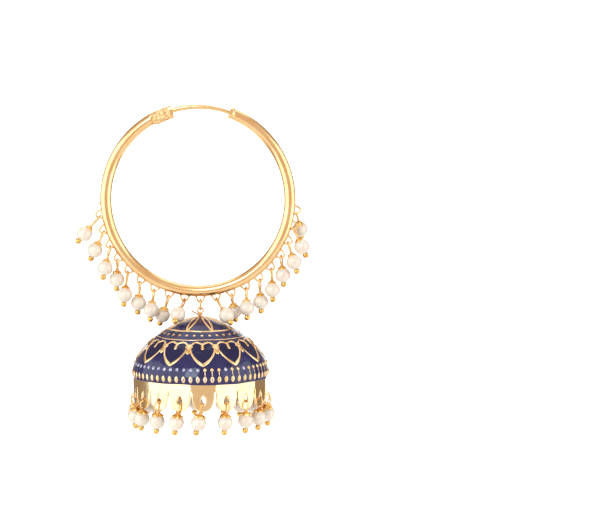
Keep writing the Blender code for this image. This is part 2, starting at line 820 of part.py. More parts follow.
def build_rim_drops(material):
    """Each eye goes through a teardrop hole and round the scallop's edge."""
    crown_height = hole_top() - HOLE_HEIGHT + EYE_WIRE / 2 + 2 * SEAT_GAP
    edge = -(DOME_CROWN + DOME_SKIRT + SCALLOP_LENGTH)
    most_lean = math.radians(max(abs(lean) for lean in RIM_LEANS))
    inner_reach = (crown_height - edge + RUNNING_GAP) / math.cos(most_lean)
    mesh, _, _ = drop_mesh(inner_reach + EYE_WIRE * 1.5, RIM_EYE_WIDTH)
    middle = DOME_DIAMETER / 2 - DOME_WALL / 2
    for number in range(SCALLOPS):
        turn = Matrix.Rotation(scallop_angle(number) + math.radians(DOME_TURN), 3, "Z")
        outward = turn @ Vector((0, -1, 0))
        sideways = turn @ Vector((1, 0, 0))
        crown = dome_apex() + outward * middle + Vector((0, 0, crown_height))
        lean = math.radians(RIM_LEANS[number])
        down = Vector((0, 0, -math.cos(lean))) + sideways * math.sin(lean)
        place_drop(f"rim_drop_{number + 1:02d}", mesh, crown, down, outward, material)


def build_earring():
    gold = finish("gold", GOLD, 0.22, 1.0)
    pale_gold = finish("pale_gold", PALE_GOLD, 0.3, 1.0)
    pearl = finish("pearl", PEARL, 0.3, 0.0)
    enamel = finish("enamel", ENAMEL, 0.12, 0.0)
    build_hoop(pale_gold)
    build_hinge_pin(gold)
    build_ear_wire(pale_gold)
    build_link(gold)
    build_dome_eye_pin(gold)
    build_dome(enamel)
    build_hoop_drops(pearl)
    build_rim_drops(pearl)
    link_joint = add_joint("link_joint", loop_bottom())
    dome_joint = add_joint("dome_joint", link_bottom())
    hang(link_joint, ["dome_link", "dome_joint"])
    rim_drops = [f"rim_drop_{number + 1:02d}" for number in range(SCALLOPS)]
    hang(dome_joint, ["dome", "dome_cuts", "dome_eye_pin"] + rim_drops)


def add_joint(name, place):
    """An empty on a joint's axis."""
    joint = bpy.data.objects.new(name, None)
    joint.location = place
    joint.empty_display_size = LINK_HEIGHT
    PARTS.objects.link(joint)
    return joint


def hang(joint, names):
    """Parent pieces to a joint's empty, so that they turn about its axis."""
    bpy.context.view_layer.update()
    for name in names:
        child = bpy.data.objects[name]
        child.parent = joint
        child.matrix_parent_inverse = joint.matrix_world.inverted()


for leftover in list(bpy.data.objects):
    bpy.data.objects.remove(leftover, do_unlink=True)
PARTS = new_collection("hoop_earring")
CUTTERS = new_collection("cutters")
build_earring()
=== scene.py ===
# %% [markdown]
# # A hoop earring with a hanging enamelled dome
# A hollow gold hoop carries small pearl drops along its lower outside, and a
# bell-shaped enamelled dome with more pearl drops hangs from its lowest loop.
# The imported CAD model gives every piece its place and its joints. Here each
# piece gets its fine shape and its finish, in the same frame and in metres.

import math

import bmesh
import bpy
import numpy as np
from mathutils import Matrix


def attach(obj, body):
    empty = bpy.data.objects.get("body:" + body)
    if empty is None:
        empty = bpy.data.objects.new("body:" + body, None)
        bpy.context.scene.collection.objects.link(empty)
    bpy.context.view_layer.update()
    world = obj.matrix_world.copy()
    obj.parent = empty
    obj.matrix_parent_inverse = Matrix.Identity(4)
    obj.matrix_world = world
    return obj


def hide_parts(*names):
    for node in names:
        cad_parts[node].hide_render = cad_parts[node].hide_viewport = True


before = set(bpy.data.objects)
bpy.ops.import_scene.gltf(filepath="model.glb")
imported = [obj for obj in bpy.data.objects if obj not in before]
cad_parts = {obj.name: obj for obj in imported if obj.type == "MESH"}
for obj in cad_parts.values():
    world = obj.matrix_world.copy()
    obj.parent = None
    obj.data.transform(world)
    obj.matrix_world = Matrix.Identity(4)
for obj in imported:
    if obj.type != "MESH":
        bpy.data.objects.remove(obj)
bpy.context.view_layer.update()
print("solids in the frame:", len(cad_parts))

# %% [markdown]
# ## Surfaces as grids of points
# Every new shape is a grid: rows and columns of points worked out as whole
# numpy arrays. Modelling by hand would hide the sizes, and a loop over
# vertices is slow. A grid needs only its formula and the faces between
# neighbours, so one pair of helpers serves tubes, wires, pearls and the dome.

# %% Grids and how they are joined
MM = 0.001
WELD = 0.002 * MM
SHARP = math.radians(50)


def grid(points, wrap_rows=False, wrap_columns=False):
    """Points and quads of a surface. Point (i, j) is joined to the next row
    and the next column, and the last to the first where it wraps."""
    rows, columns = points.shape[:2]
    index = np.arange(rows * columns).reshape(rows, columns)
    if wrap_rows:
        index = np.vstack([index, index[:1]])
    if wrap_columns:
        index = np.hstack([index, index[:, :1]])
    corners = (index[:-1, :-1], index[:-1, 1:], index[1:, 1:], index[1:, :-1])
    return points.reshape(-1, 3), np.stack(corners, -1).reshape(-1, 4)


def together(surfaces):
    """Several surfaces as one: each one's face numbers are raised by the
    count of the points before it."""
    starts = np.cumsum([0] + [len(points) for points, _ in surfaces[:-1]])
    points = np.concatenate([points for points, _ in surfaces])
    faces = [faces + start for (_, faces), start in zip(surfaces, starts)]
    return points, np.concatenate(faces)


def placed(surface, matrix):
    """Each point times the matrix's turn, plus the matrix's place."""
    points, faces = surface
    return points @ matrix[:3, :3].T + matrix[:3, 3], faces


def unit(vectors):
    """Vectors divided by their lengths."""
    return vectors / np.linalg.norm(vectors, axis=-1, keepdims=True)


def full_turn(steps):
    """Evenly spaced angles round a circle, in radians."""
    return np.linspace(0, 2 * np.pi, steps, endpoint=False)


def axes_matrix(x, y, z, origin):
    """Matrix of a frame from its three axes and its origin."""
    matrix = np.eye(4)
    matrix[:3] = np.column_stack([x, y, z, origin])
    return matrix


# %% [markdown]
# ## From a surface to a piece
# A piece may hold several finishes, so it is built from pairs of a surface
# and a material. Doubles at seams and poles are merged and the normals are
# turned outwards once, here, and never by hand afterwards.

# %% Make a piece
def new_mesh(name, parts):
    """Points in millimetres become vertices in metres, and each part's quads
    keep the number of the part's material."""
    points, faces = together([surface for surface, _ in parts])
    mesh = bpy.data.meshes.new(name)
    mesh.vertices.add(len(points))
    mesh.vertices.foreach_set("co", (points * MM).astype(np.float32).ravel())
    mesh.loops.add(faces.size)
    mesh.loops.foreach_set("vertex_index", faces.astype(np.int32).ravel())
    mesh.polygons.add(len(faces))
    mesh.polygons.foreach_set("loop_start", np.arange(0, faces.size, 4, dtype=np.int32))
    numbers = [np.full(len(part[0][1]), number) for number, part in enumerate(parts)]
    mesh.polygons.foreach_set("material_index", np.concatenate(numbers).astype(np.int32))
    mesh.update(calc_edges=True)
    for _, material in parts:
        mesh.materials.append(material)
    return mesh


def tidy_mesh(mesh, outwards=True):
    """Merge doubles, turn the faces outwards and shade all but sharp edges."""
    work = bmesh.new()
    work.from_mesh(mesh)
    bmesh.ops.remove_doubles(work, verts=work.verts, dist=WELD)
    bmesh.ops.dissolve_degenerate(work, edges=work.edges, dist=WELD / 10)
    if outwards:
        bmesh.ops.recalc_face_normals(work, faces=work.faces)
    work.to_mesh(mesh)
    work.free()
    mesh.shade_smooth()
    mesh.set_sharp_from_angle(angle=SHARP)


def new_object(name, data):
    """An object in the scene that holds a mesh, a light or a camera."""
    made = bpy.data.objects.new(name, data)
    bpy.context.scene.collection.objects.link(made)
    return made


def points_of(piece):
    """A piece's vertices in millimetres."""
    points = np.empty(len(piece.data.vertices) * 3, np.float32)
    piece.data.vertices.foreach_get("co", points)
    return points.reshape(-1, 3) / MM


def store(piece, name, values):
    """A value for each vertex, which a finish reads as an attribute."""
    attribute = piece.data.attributes.new(name, "FLOAT", "POINT")
    attribute.data.foreach_set("value", values.astype(np.float32))


def add_piece(name, parts, body, stands_for=()):
    """A piece of one or more (surface, material) pairs that rides on a body
    and stands for the named solids."""
    mesh = new_mesh(name, parts)
    tidy_mesh(mesh)
    piece = new_object(name, mesh)
    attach(piece, body)
    if stands_for:
        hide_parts(*stands_for)
    return piece


# %% [markdown]
# ## Wires and turned shapes
# Most of the jewel is bent wire. A wire is a circle carried along a path, and
# a bead or a cap is a profile turned about an axis. Curve objects could do
# both, but their ends stay flat and they have to be converted, so the rings
# are worked out here, with rounded ends.

# %% Swept wires and turned profiles
CAP_TURNS = np.radians([90, 65, 40, 15])


def swept(path, radius, sides, up, closed=False, flat=1.0):
    """A wire: each ring is the path's point plus the radius times cosine of
    the side direction and sine of the rise. Side is square to the path and to
    up, rise is square to both and scaled by flat. Open ends close in rings
    that shrink as a quarter circle."""
    path = np.asarray(path, float)
    radius = np.broadcast_to(np.asarray(radius, float), (len(path),))
    up = np.broadcast_to(np.asarray(up, float), path.shape)
    if closed:
        along = unit(np.roll(path, -1, 0) - np.roll(path, 1, 0))
    else:
        along = unit(np.gradient(path, axis=0))
        reach = np.sin(CAP_TURNS)[:, None]
        shrink = np.cos(CAP_TURNS)
        first = path[0] - along[0] * radius[0] * reach
        last = path[-1] + along[-1] * radius[-1] * reach[::-1]
        ends = len(CAP_TURNS)
        path = np.concatenate([first, path, last])
        radius = np.concatenate([radius[0] * shrink, radius, radius[-1] * shrink[::-1]])
        along = np.concatenate([[along[0]] * ends, along, [along[-1]] * ends])
        up = np.concatenate([[up[0]] * ends, up, [up[-1]] * ends])
    side = unit(np.cross(along, up))
    rise = np.cross(side, along) * flat
    turn = full_turn(sides)[None, :, None]
    ring = np.cos(turn) * side[:, None] + np.sin(turn) * rise[:, None]
    return grid(path[:, None] + radius[:, None, None] * ring, closed, True)


def turned(profile, steps):
    """A profile of (radius, height) turned about Z: x is the radius times
    cosine of the angle, y times sine."""
    profile = np.asarray(profile, float)
    turn = full_turn(steps)
    out = profile[:, :1]
    up = np.broadcast_to(profile[:, 1:], (len(profile), steps))
    return grid(np.stack([out * np.cos(turn), out * np.sin(turn), up], -1), False, True)


def ball(radius, centre, rings, steps):
    """A sphere: radius times sine and cosine of the angle from its top."""
    turn = np.linspace(0, np.pi, rings)
    profile = np.stack([radius * np.sin(turn), radius * np.cos(turn)], -1)
    points, faces = turned(profile, steps)
    return points + np.asarray(centre, float), faces


def helix(radius, growth, turns, top, bottom, steps):
    """A path round Z whose angle, radius and height change together."""
    share = np.linspace(0, 1, steps)
    turn = 2 * np.pi * turns * share
    out = radius + growth * share
    return np.stack([out * np.cos(turn), out * np.sin(turn), top + (bottom - top) * share], -1)


def curve_through(knots, steps):
    """A Catmull-Rom curve: between two knots each coordinate is the cubic
    that has the slope from the knot before to the knot after."""
    knots = np.asarray(knots, float)
    padded = np.concatenate([[2 * knots[0] - knots[1]], knots, [2 * knots[-1] - knots[-2]]])
    share = np.linspace(0, len(knots) - 1, steps)
    piece = np.minimum(share.astype(int), len(knots) - 2)
    t = (share - piece)[:, None]
    a, b, c, d = (padded[piece + shift] for shift in range(4))
    return 0.5 * (2 * b + (c - a) * t + (2 * a - 5 * b + 4 * c - d) * t ** 2
                  + (3 * b - a - 3 * c + d) * t ** 3)


def smoothstep(low, high, value):
    """0 below low, 1 above high and 3t^2 - 2t^3 between them."""
    t = np.clip((value - low) / (high - low), 0, 1)
    return t * t * (3 - 2 * t)


# %% [markdown]
# ## Shader maths as expressions
# A finish changes a little over every surface. Writing each Math node by hand
# hides the formula, so a value read from a node is wrapped in a small class,
# and an expression such as 1 - mask adds the nodes it needs.

# %% Values and finishes
class Value:
    """A number that changes over a surface, held by an output socket."""

    def __init__(self, finish, socket):
        self.finish = finish
        self.socket = socket

    def maths(self, operation, first, second):
        return self.finish.node("Math", {"operation": operation}, {0: first, 1: second})

    def __add__(self, other):
        return self.maths("ADD", self, other)

    def __radd__(self, other):
        return self.maths("ADD", other, self)

    def __sub__(self, other):
        return self.maths("SUBTRACT", self, other)

    def __rsub__(self, other):
        return self.maths("SUBTRACT", other, self)

    def __mul__(self, other):
        return self.maths("MULTIPLY", self, other)

    def __rmul__(self, other):
        return self.maths("MULTIPLY", other, self)


class Nodes:
    """A node tree whose nodes are made from settings and inputs."""

    def __init__(self, tree):
        self.tree = tree

    def node(self, kind, settings, sockets, output=0):
        """Any node: its settings come first, then its sockets' values."""
        made = self.tree.nodes.new("ShaderNode" + kind)
        for setting, value in settings.items():
            if setting == "stops":
                ramp = made.color_ramp
                ramp.elements[0].position, ramp.elements[0].color = value[0]
                ramp.elements[1].position, ramp.elements[1].color = value[-1]
                for position, colour in value[1:-1]:
                    ramp.elements.new(position).color = colour
            else:
                setattr(made, setting, value)
        for socket, value in sockets.items():
            if isinstance(value, Value):
                self.tree.links.new(value.socket, made.inputs[socket])
            else:
                made.inputs[socket].default_value = value
        return Value(self, made.outputs[output])

    def colour_mix(self, share, first, second):
        sockets = {0: share, 6: first, 7: second}
        return self.node("Mix", {"data_type": "RGBA"}, sockets, output=2)


class Finish(Nodes):
    """A material and its nodes, fed from the Principled shader outwards."""

    def __init__(self, name, constants):
        self.material = bpy.data.materials.new(name)
        self.material.use_nodes = True
        super().__init__(self.material.node_tree)
        self.shader = self.tree.nodes["Principled BSDF"]
        for socket, value in constants.items():
            self.shader.inputs[socket].default_value = value
        self.place = self.node("TexCoord", {}, {}, "Object")

    def noise(self, size, detail=2.0, stretch=None):
        """Noise whose features are about size millimetres across."""
        place = self.place
        if stretch:
            place = self.node("Mapping", {}, {"Vector": place, "Scale": stretch})
        sockets = {"Vector": place, "Scale": 1 / (size * MM), "Detail": detail}
        return self.node("TexNoise", {}, sockets)

    def tone(self, value, *stops):
        """A colour that runs through its (place, colour) stops with a value."""
        return self.node("ValToRGB", {"stops": stops}, {"Fac": value})

    def bump(self, height):
        """Normals of a relief whose height is in millimetres."""
        return self.node("Bump", {}, {"Height": height, "Strength": 1.0, "Distance": MM})

    def feed(self, **sockets):
        """Link values to the shader: base_color feeds Base Color."""
        for socket, value in sockets.items():
            label = socket.replace("_", " ").title()
            self.tree.links.new(value.socket, self.shader.inputs[label])
        return self.material


def colour(red, green, blue):
    """A linear colour from its 0 to 255 screen values."""
    screen = np.array([red, green, blue]) / 255
    linear = np.where(screen > 0.04045, ((screen + 0.055) / 1.055) ** 2.4, screen / 12.92)
    return (*linear.tolist(), 1.0)


# %% [markdown]
# ## Gold in several tones
# The real metal is gold plate: pale and polished on the hoop and the rim,
# deeper yellow on the balls, orange on the thin wires. Plate is never one
# flat tone. It is polished in streaks, with tiny dents, so the roughness and
# the normal follow noise and the colour drifts between two near tones.

# %% Gold finishes
def gold_finish(name, light, deep, roughness, wave, scratch):
    """Metal whose tone drifts over 3 mm, with roughness streaks and fine
    dents whose depths are given in millimetres."""
    finish = Finish(name, {"Metallic": 1.0})
    drift = finish.noise(3.0)
    streak = finish.noise(0.5, 3.0, (1, 1, 0.3))
    grain = finish.noise(0.16, 2.0)
    slow = finish.noise(1.6, 1.0)
    tone = finish.tone(drift, (0.3, deep), (0.65, light))
    rough = roughness + 0.12 * (streak - 0.5)
    dents = finish.bump(slow * wave + grain * scratch)
    return finish.feed(base_color=tone, roughness=rough, normal=dents)


GOLD_LIGHT = colour(247, 214, 162)
GOLD_DEEP = colour(243, 200, 142)
polished_gold = gold_finish("polished_gold", GOLD_LIGHT, GOLD_DEEP, 0.2, 0.02, 0.0012)
rim_gold = gold_finish(
    "rim_gold", colour(252, 229, 182), colour(248, 216, 160), 0.10, 0.02, 0.0008)
wire_gold = gold_finish(
    "wire_gold", colour(246, 210, 150), colour(224, 176, 112), 0.25, 0.01, 0.002)
ball_gold = gold_finish(
    "ball_gold", colour(238, 200, 120), colour(214, 162, 80), 0.2, 0.02, 0.002)
line_gold = gold_finish(
    "line_gold", colour(252, 222, 172), colour(240, 196, 134), 0.22, 0.01, 0.003)
inner_gold = gold_finish(
    "inner_gold", colour(226, 178, 112), colour(196, 142, 80), 0.34, 0.02, 0.004)
cap_gold = gold_finish(
    "cap_gold", colour(246, 210, 136), colour(224, 168, 84), 0.24, 0.01, 0.004)

# %% [markdown]
# ## Hammered gold for the pressed end
# The hoop's hinge end is pressed flat and dented. A generic hammered pattern
# stands there: small rounded cells pushed in at random, only as far as the
# piece's own attribute says that the tube is pressed. The bottom of each dent
# is painted a darker brown gold, as painted shade in the hollows.

# %% Hammered gold
hammer = Finish("hammered_gold", {"Metallic": 1.0})
pressed_share = hammer.node("Attribute", {"attribute_name": "pressed"}, {}, output=2)
cells = hammer.node("TexVoronoi", {"feature": "SMOOTH_F1"},
                    {"Vector": hammer.place, "Scale": 1 / (0.55 * MM), "Smoothness": 0.3})
fine_cells = hammer.node("TexVoronoi", {}, {"Vector": hammer.place, "Scale": 1 / (0.3 * MM)})
slow_dents = hammer.noise(1.6, 1.0)
hammer_tone = hammer.tone(hammer.noise(3.0), (0.3, GOLD_DEEP), (0.65, GOLD_LIGHT))
# Painted shade: the middle of each dent is mixed towards a dark brown gold.
painted_dent_shade = hammer.colour_mix(
    pressed_share * (1 - cells * 1.7), hammer_tone, colour(176, 132, 62))
hammer_depth = pressed_share * (cells * 0.3 + fine_cells * 0.06 - 0.12) + slow_dents * 0.02
hammered_gold = hammer.feed(
    base_color=painted_dent_shade,
    roughness=0.2 + 0.14 * pressed_share + 0.1 * (hammer.noise(0.5, 3.0) - 0.5),
    normal=hammer.bump(hammer_depth))

# %% [markdown]
# ## Enamel and pearl
# Enamel is glass melted on metal: a deep navy under a glossy skin that is
# never quite even, so a slow bump breaks its reflections. The piece's own
# attribute paints the hearts a darker navy, as painted shade for the dim
# reflections of their sagging hollows. A thin glaze, lighter over the metal
# and with whitish tones painted as a glint, covers some studs. The pearls are
# cream, with a soft lustre and a clear coat.

# %% Enamel and pearl finishes
glaze = Finish("enamel", {"IOR": 1.45, "Coat Weight": 0.2, "Coat Roughness": 0.04})
# Painted shade: where this attribute is 1, inside the hearts, the enamel is mixed to a darker
# navy.
thick = glaze.node("Attribute", {"attribute_name": "thick"}, {}, output=2)
cloud = glaze.tone(glaze.noise(2.4, 3.0), (0.35, colour(22, 26, 76)), (0.7, colour(40, 40, 94)))
glaze_tone = glaze.colour_mix(thick, cloud, colour(10, 17, 66))
enamel = glaze.feed(
    base_color=glaze_tone,
    roughness=0.1 + 0.16 * (glaze.noise(1.2, 2.0) - 0.35),
    normal=glaze.bump(glaze.noise(1.3, 1.0) * 0.09 + glaze.noise(0.35, 2.0) * 0.004))

# Thin glaze on the metal, really lighter than the enamel; its whitish tones are a painted
# glint.
thin = Finish("thin_enamel_and_painted_glint", {"Metallic": 0.6, "Coat Weight": 0.4, "Coat Roughness": 0.05})
thin_enamel_and_painted_glint = thin.feed(
    base_color=thin.tone(thin.noise(0.8, 2.0), (0.3, colour(128, 132, 172)),
                         (0.7, colour(206, 206, 222))),
    roughness=0.14 + 0.1 * (thin.noise(0.6, 2.0) - 0.5),
    normal=thin.bump(thin.noise(0.5, 1.0) * 0.02))

nacre = Finish("pearl", {"Coat Weight": 1.0, "Coat Roughness": 0.06, "IOR": 1.65,
                         "Subsurface Weight": 0.1, "Subsurface Radius": (1.0, 0.7, 0.5),
                         "Subsurface Scale": 0.4 * MM})
pearl = nacre.feed(
    base_color=nacre.tone(nacre.noise(1.8, 2.0), (0.3, colour(225, 209, 193)),
                          (0.55, colour(227, 221, 207)), (0.75, colour(215, 214, 190))),
    roughness=0.2 + 0.12 * (nacre.noise(0.6, 2.0) - 0.5),
    normal=nacre.bump(nacre.noise(0.9, 2.0) * 0.012))

# %% [markdown]
# ## The hoop
# The real hoop is a hollow tube bent round, one end pressed flat to hold the
# hinge and the other bored open to take the wire's tip. The tube is one
# surface that runs along the outside and back along the inside of its wall.
# The sizes are the CAD's, in millimetres.

# %% The tube's shape
HOOP_RADIUS = 18.85
TUBE_RADIUS = 1.15
TUBE_WALL = 0.3
CATCH_END = 69.7
HINGE_END = 106.0
PRESS_LENGTH = 5.2
PRESS_HEIGHT = 2.8
PRESS_THICKNESS = 1.7
PRESS_BLEND = 0.35
PRESS_INWARD = PRESS_HEIGHT / 2 - TUBE_RADIUS
COLLAR_LENGTH = 0.75
COLLAR_RISE = 0.07
COLLAR_EDGE = 0.1
HINGE_GROOVE = 0.75
HINGE_GROOVE_WIDTH = 0.12
CATCH_GROOVE = 0.9
CATCH_GROOVE_WIDTH = 0.1
GROOVE_DEPTH = 0.07


def arc_angle(length):
    """Degrees that a length takes along the tube's centreline."""
    return np.degrees(length / HOOP_RADIUS)


def hoop_frame(angle):
    """Matrix of a frame on the centreline: X clockwise, Y away, Z outward."""
    turn = math.radians(angle)
    along = (math.sin(turn), 0, -math.cos(turn))
    outward = np.array((math.cos(turn), 0, math.sin(turn)))
    return axes_matrix(along, (0, 1, 0), outward, outward * HOOP_RADIUS - (0, 0, HOOP_RADIUS))


def tube_surface(angles, turns, shrink):
    """Points of the tube, shrunk by a wall's thickness: outward is the
    section's cosine and across its sine, each raised to 2/p so that the
    pressed end is squarer, with p from 2 to 3."""
    share = 1 - smoothstep(HINGE_END + arc_angle(PRESS_LENGTH * (1 - PRESS_BLEND)),
                           HINGE_END + arc_angle(PRESS_LENGTH), angles)
    power = 2 / (2 + share)
    half_height = TUBE_RADIUS + share * PRESS_INWARD
    half_thickness = TUBE_RADIUS + share * (PRESS_THICKNESS / 2 - TUBE_RADIUS)
    inward = share * PRESS_INWARD
    from_catch = (CATCH_END + 360 - angles) / arc_angle(1)
    from_hinge = (angles - HINGE_END) / arc_angle(1)
    collar = COLLAR_RISE * (
        1 - smoothstep(COLLAR_LENGTH - COLLAR_EDGE, COLLAR_LENGTH, from_catch))
    collar = collar - GROOVE_DEPTH * np.exp(
        -((from_catch - CATCH_GROOVE) / CATCH_GROOVE_WIDTH) ** 2)
    groove = GROOVE_DEPTH * np.exp(-((from_hinge - HINGE_GROOVE) / HINGE_GROOVE_WIDTH) ** 2)
    swell = np.where(shrink > 0, 0, collar - groove) - shrink
    cos, sin = np.cos(turns), np.sin(turns)
    out = (half_height + swell) * np.sign(cos) * np.abs(cos) ** power - inward
    across = (half_thickness + swell) * np.sign(sin) * np.abs(sin) ** power
    reach = HOOP_RADIUS + out
    turn = np.radians(angles)
    return np.stack([reach * np.cos(turn), across + 0 * turn,
                     reach * np.sin(turn) - HOOP_RADIUS], -1)


hinge_rows = np.linspace(HINGE_END, HINGE_END + arc_angle(PRESS_LENGTH), 64)
plain_rows = np.linspace(hinge_rows[-1], CATCH_END + 360 - arc_angle(1.2), 220)[1:]
catch_rows = np.linspace(plain_rows[-1], CATCH_END + 360, 18)[1:]
tube_rows = np.concatenate([hinge_rows, plain_rows, catch_rows])[:, None]
tube_turns = full_turn(48)[None]
outer_tube = tube_surface(tube_rows, tube_turns, 0.0)
inner_tube = tube_surface(tube_rows[::-1], tube_turns, TUBE_WALL)
tube = grid(np.concatenate([outer_tube, inner_tube]), True, True)
print("tube rows:", len(tube_rows), "section steps:", tube_turns.size)

# %% [markdown]
# ## Slots for the ear wire
# The wire swings up through a slot in the pressed end and drops into one in
# the open end. A Boolean cut is right for them, because a slot's corners
# would need special rows in the grid. The share by which the tube is pressed
# is stored after the cut, from each vertex's own angle.

# %% Cut the slots and finish the hoop
SLOT_WIDTH = 0.925
TIP_SLOT_WIDTH = 0.765
PIN_SETBACK = 2.0
PIN_ANGLE = HINGE_END + arc_angle(PIN_SETBACK)
PIN_HOLE = 0.31
WIRE_HEIGHT = 1.15
PAST_PIN = WIRE_HEIGHT / math.sqrt(2) + 0.12
PAST_TUBE = 4.0
PAST_END = 1.8
SLOT_FLOOR = -0.25
TIP_SLOT_FLOOR = 0.35
TIP_SLOT_REACH = 1.6
HAMMERED_FROM = (0.9, 1.1)
HAMMERED_TO = (4.2, 4.9)
HAMMERED_HALF = (0.9, 1.15)
FLAT_FACE = 0.4


def box_surface(low, high, matrix):
    """A box: rings of four corners at three shares of its height, the first
    and the last drawn in to a point."""
    low, high = np.array(low, float), np.array(high, float)
    corners = np.array([(0, 0), (1, 0), (1, 1), (0, 1)])
    flat = low[:2] + corners * (high[:2] - low[:2])
    middle = np.repeat(flat.mean(0)[None], 4, 0)
    rings = [np.column_stack([ring, np.full(4, height)]) for ring, height in
             ((middle, low[2]), (flat, low[2]), (flat, high[2]), (middle, high[2]))]
    return placed(grid(np.stack(rings), False, True), matrix)


def cut_away(piece, surface):
    """Apply a Boolean difference with a surface that is then removed."""
    mesh = new_mesh("cutter", [(surface, None)])
    tidy_mesh(mesh)
    cutter = new_object("cutter", mesh)
    modifier = piece.modifiers.new("Cut", "BOOLEAN")
    modifier.operation = "DIFFERENCE"
    modifier.solver = "EXACT"
    modifier.object = cutter
    graph = bpy.context.evaluated_depsgraph_get()
    cut = bpy.data.meshes.new_from_object(piece.evaluated_get(graph))
    piece.modifiers.clear()
    piece.data = cut
    bpy.data.objects.remove(cutter, do_unlink=True)


hinge_slot = box_surface((-PAST_PIN, -SLOT_WIDTH / 2, SLOT_FLOOR),
                         (PAST_TUBE, SLOT_WIDTH / 2, PAST_TUBE), hoop_frame(PIN_ANGLE))
catch_slot = box_surface((-TIP_SLOT_REACH, -TIP_SLOT_WIDTH / 2, TIP_SLOT_FLOOR),
                         (PAST_END, TIP_SLOT_WIDTH / 2, PAST_TUBE), hoop_frame(CATCH_END))
pin_place = hoop_frame(PIN_ANGLE)[:3, 3]
hoop_tube = add_piece("hoop_tube", [(tube, hammered_gold)], "hoop", ["hoop"])
for slot in (hinge_slot, catch_slot):
    cut_away(hoop_tube, slot)
tidy_mesh(hoop_tube.data, outwards=False)
tube_points = points_of(hoop_tube)
vertex_angle = np.degrees(np.arctan2(tube_points[:, 2] + HOOP_RADIUS, tube_points[:, 0])) % 360
from_end = (vertex_angle - HINGE_END) / arc_angle(1)
on_face = np.abs(tube_points[:, 1]) > FLAT_FACE
reach_out = np.hypot(tube_points[:, 0], tube_points[:, 2] + HOOP_RADIUS)
from_middle = np.abs(reach_out - HOOP_RADIUS + PRESS_INWARD)
pressed = smoothstep(*HAMMERED_FROM, from_end) * (1 - smoothstep(*HAMMERED_TO, from_end))
pressed = pressed * on_face * (1 - smoothstep(*HAMMERED_HALF, from_middle))
store(hoop_tube, "pressed", pressed)
print("hoop tube:", len(hoop_tube.data.polygons), "faces")

# %% [markdown]
# ## Loops and solder
# Nineteen little wire loops are soldered along the lower outside, each a
# rounded V whose feet end in a bead of solder. One swept wire serves them
# all, turned to each loop's own angle. One more bead sits alone above the
# last loop on the left.

# %% Loops on the hoop
LOOPS_PER_SIDE = 9
LOOPS_TURN = 1.2
LOOP_PITCH = math.degrees(3.2 / (HOOP_RADIUS + TUBE_RADIUS))
LOOP_HALF_WIDTH = 0.86
LOOP_DEPTH = 1.16
LOOP_ROOT = 0.15
LOOP_WIRE = 0.19
LOOP_SHAPE = 1.3
SOLDER_RADIUS = 0.3
SOLDER_SINK = 0.12
NUB_ANGLE = 182.3

bend = np.linspace(0, np.pi, 25)
loop_rise = (LOOP_DEPTH + LOOP_ROOT) * np.sin(bend) ** LOOP_SHAPE - LOOP_ROOT
loop_path = np.stack([LOOP_HALF_WIDTH * np.cos(bend), 0 * bend, TUBE_RADIUS + loop_rise], -1)
loop_wire = swept(loop_path, LOOP_WIRE, 10, (0, 1, 0))
solder = [ball(SOLDER_RADIUS, (side * LOOP_HALF_WIDTH, 0, TUBE_RADIUS - SOLDER_SINK), 9, 12)
          for side in (-1, 1)]
loop_with_solder = together([loop_wire] + solder)
loop_angles = [LOOPS_TURN - 90 + LOOP_PITCH * loop
               for loop in range(-LOOPS_PER_SIDE, LOOPS_PER_SIDE + 1)]
loops = [placed(loop_with_solder, hoop_frame(angle)) for angle in loop_angles]
nub = placed(ball(SOLDER_RADIUS, (0, 0, TUBE_RADIUS), 9, 12), hoop_frame(NUB_ANGLE))
add_piece("hoop_loops", [(together(loops + [nub]), wire_gold)], "hoop")
print("loops:", len(loops))

# %% [markdown]
# ## Ear wire and hinge
# The wire that passes through the ear is flattened at its hinge and tapers to
# its tip. It follows the hoop's own circle, so it is the same sweep with a
# radius that falls and a section that is narrower across the hoop. A rivet
# with two low heads holds it.

# %% Ear wire and rivet
WIRE_TIP_HEIGHT = 0.75
WIRE_FLATNESS = 0.7
WIRE_ENTRY = 1.6
WIRE_STEPS = 60
TAPER = 0.8
PIN_LENGTH = 1.82
PIN_RADIUS = 0.25
HEAD_RISE = 0.1

wire_end = CATCH_END - arc_angle(WIRE_ENTRY - WIRE_TIP_HEIGHT / 2)
wire_angles = np.radians(np.linspace(PIN_ANGLE, wire_end, WIRE_STEPS))
wire_path = np.stack([HOOP_RADIUS * np.cos(wire_angles), 0 * wire_angles,
                      HOOP_RADIUS * (np.sin(wire_angles) - 1)], -1)
wire_share = np.linspace(0, 1, WIRE_STEPS)
wire_radius = (WIRE_HEIGHT + wire_share ** TAPER * (WIRE_TIP_HEIGHT - WIRE_HEIGHT)) / 2
ear_wire = swept(wire_path, wire_radius, 24, (0, 1, 0), flat=WIRE_FLATNESS)
ear_wire_arc = add_piece("ear_wire_arc", [(ear_wire, polished_gold)], "ear_wire",
                         ["ear_wire"])

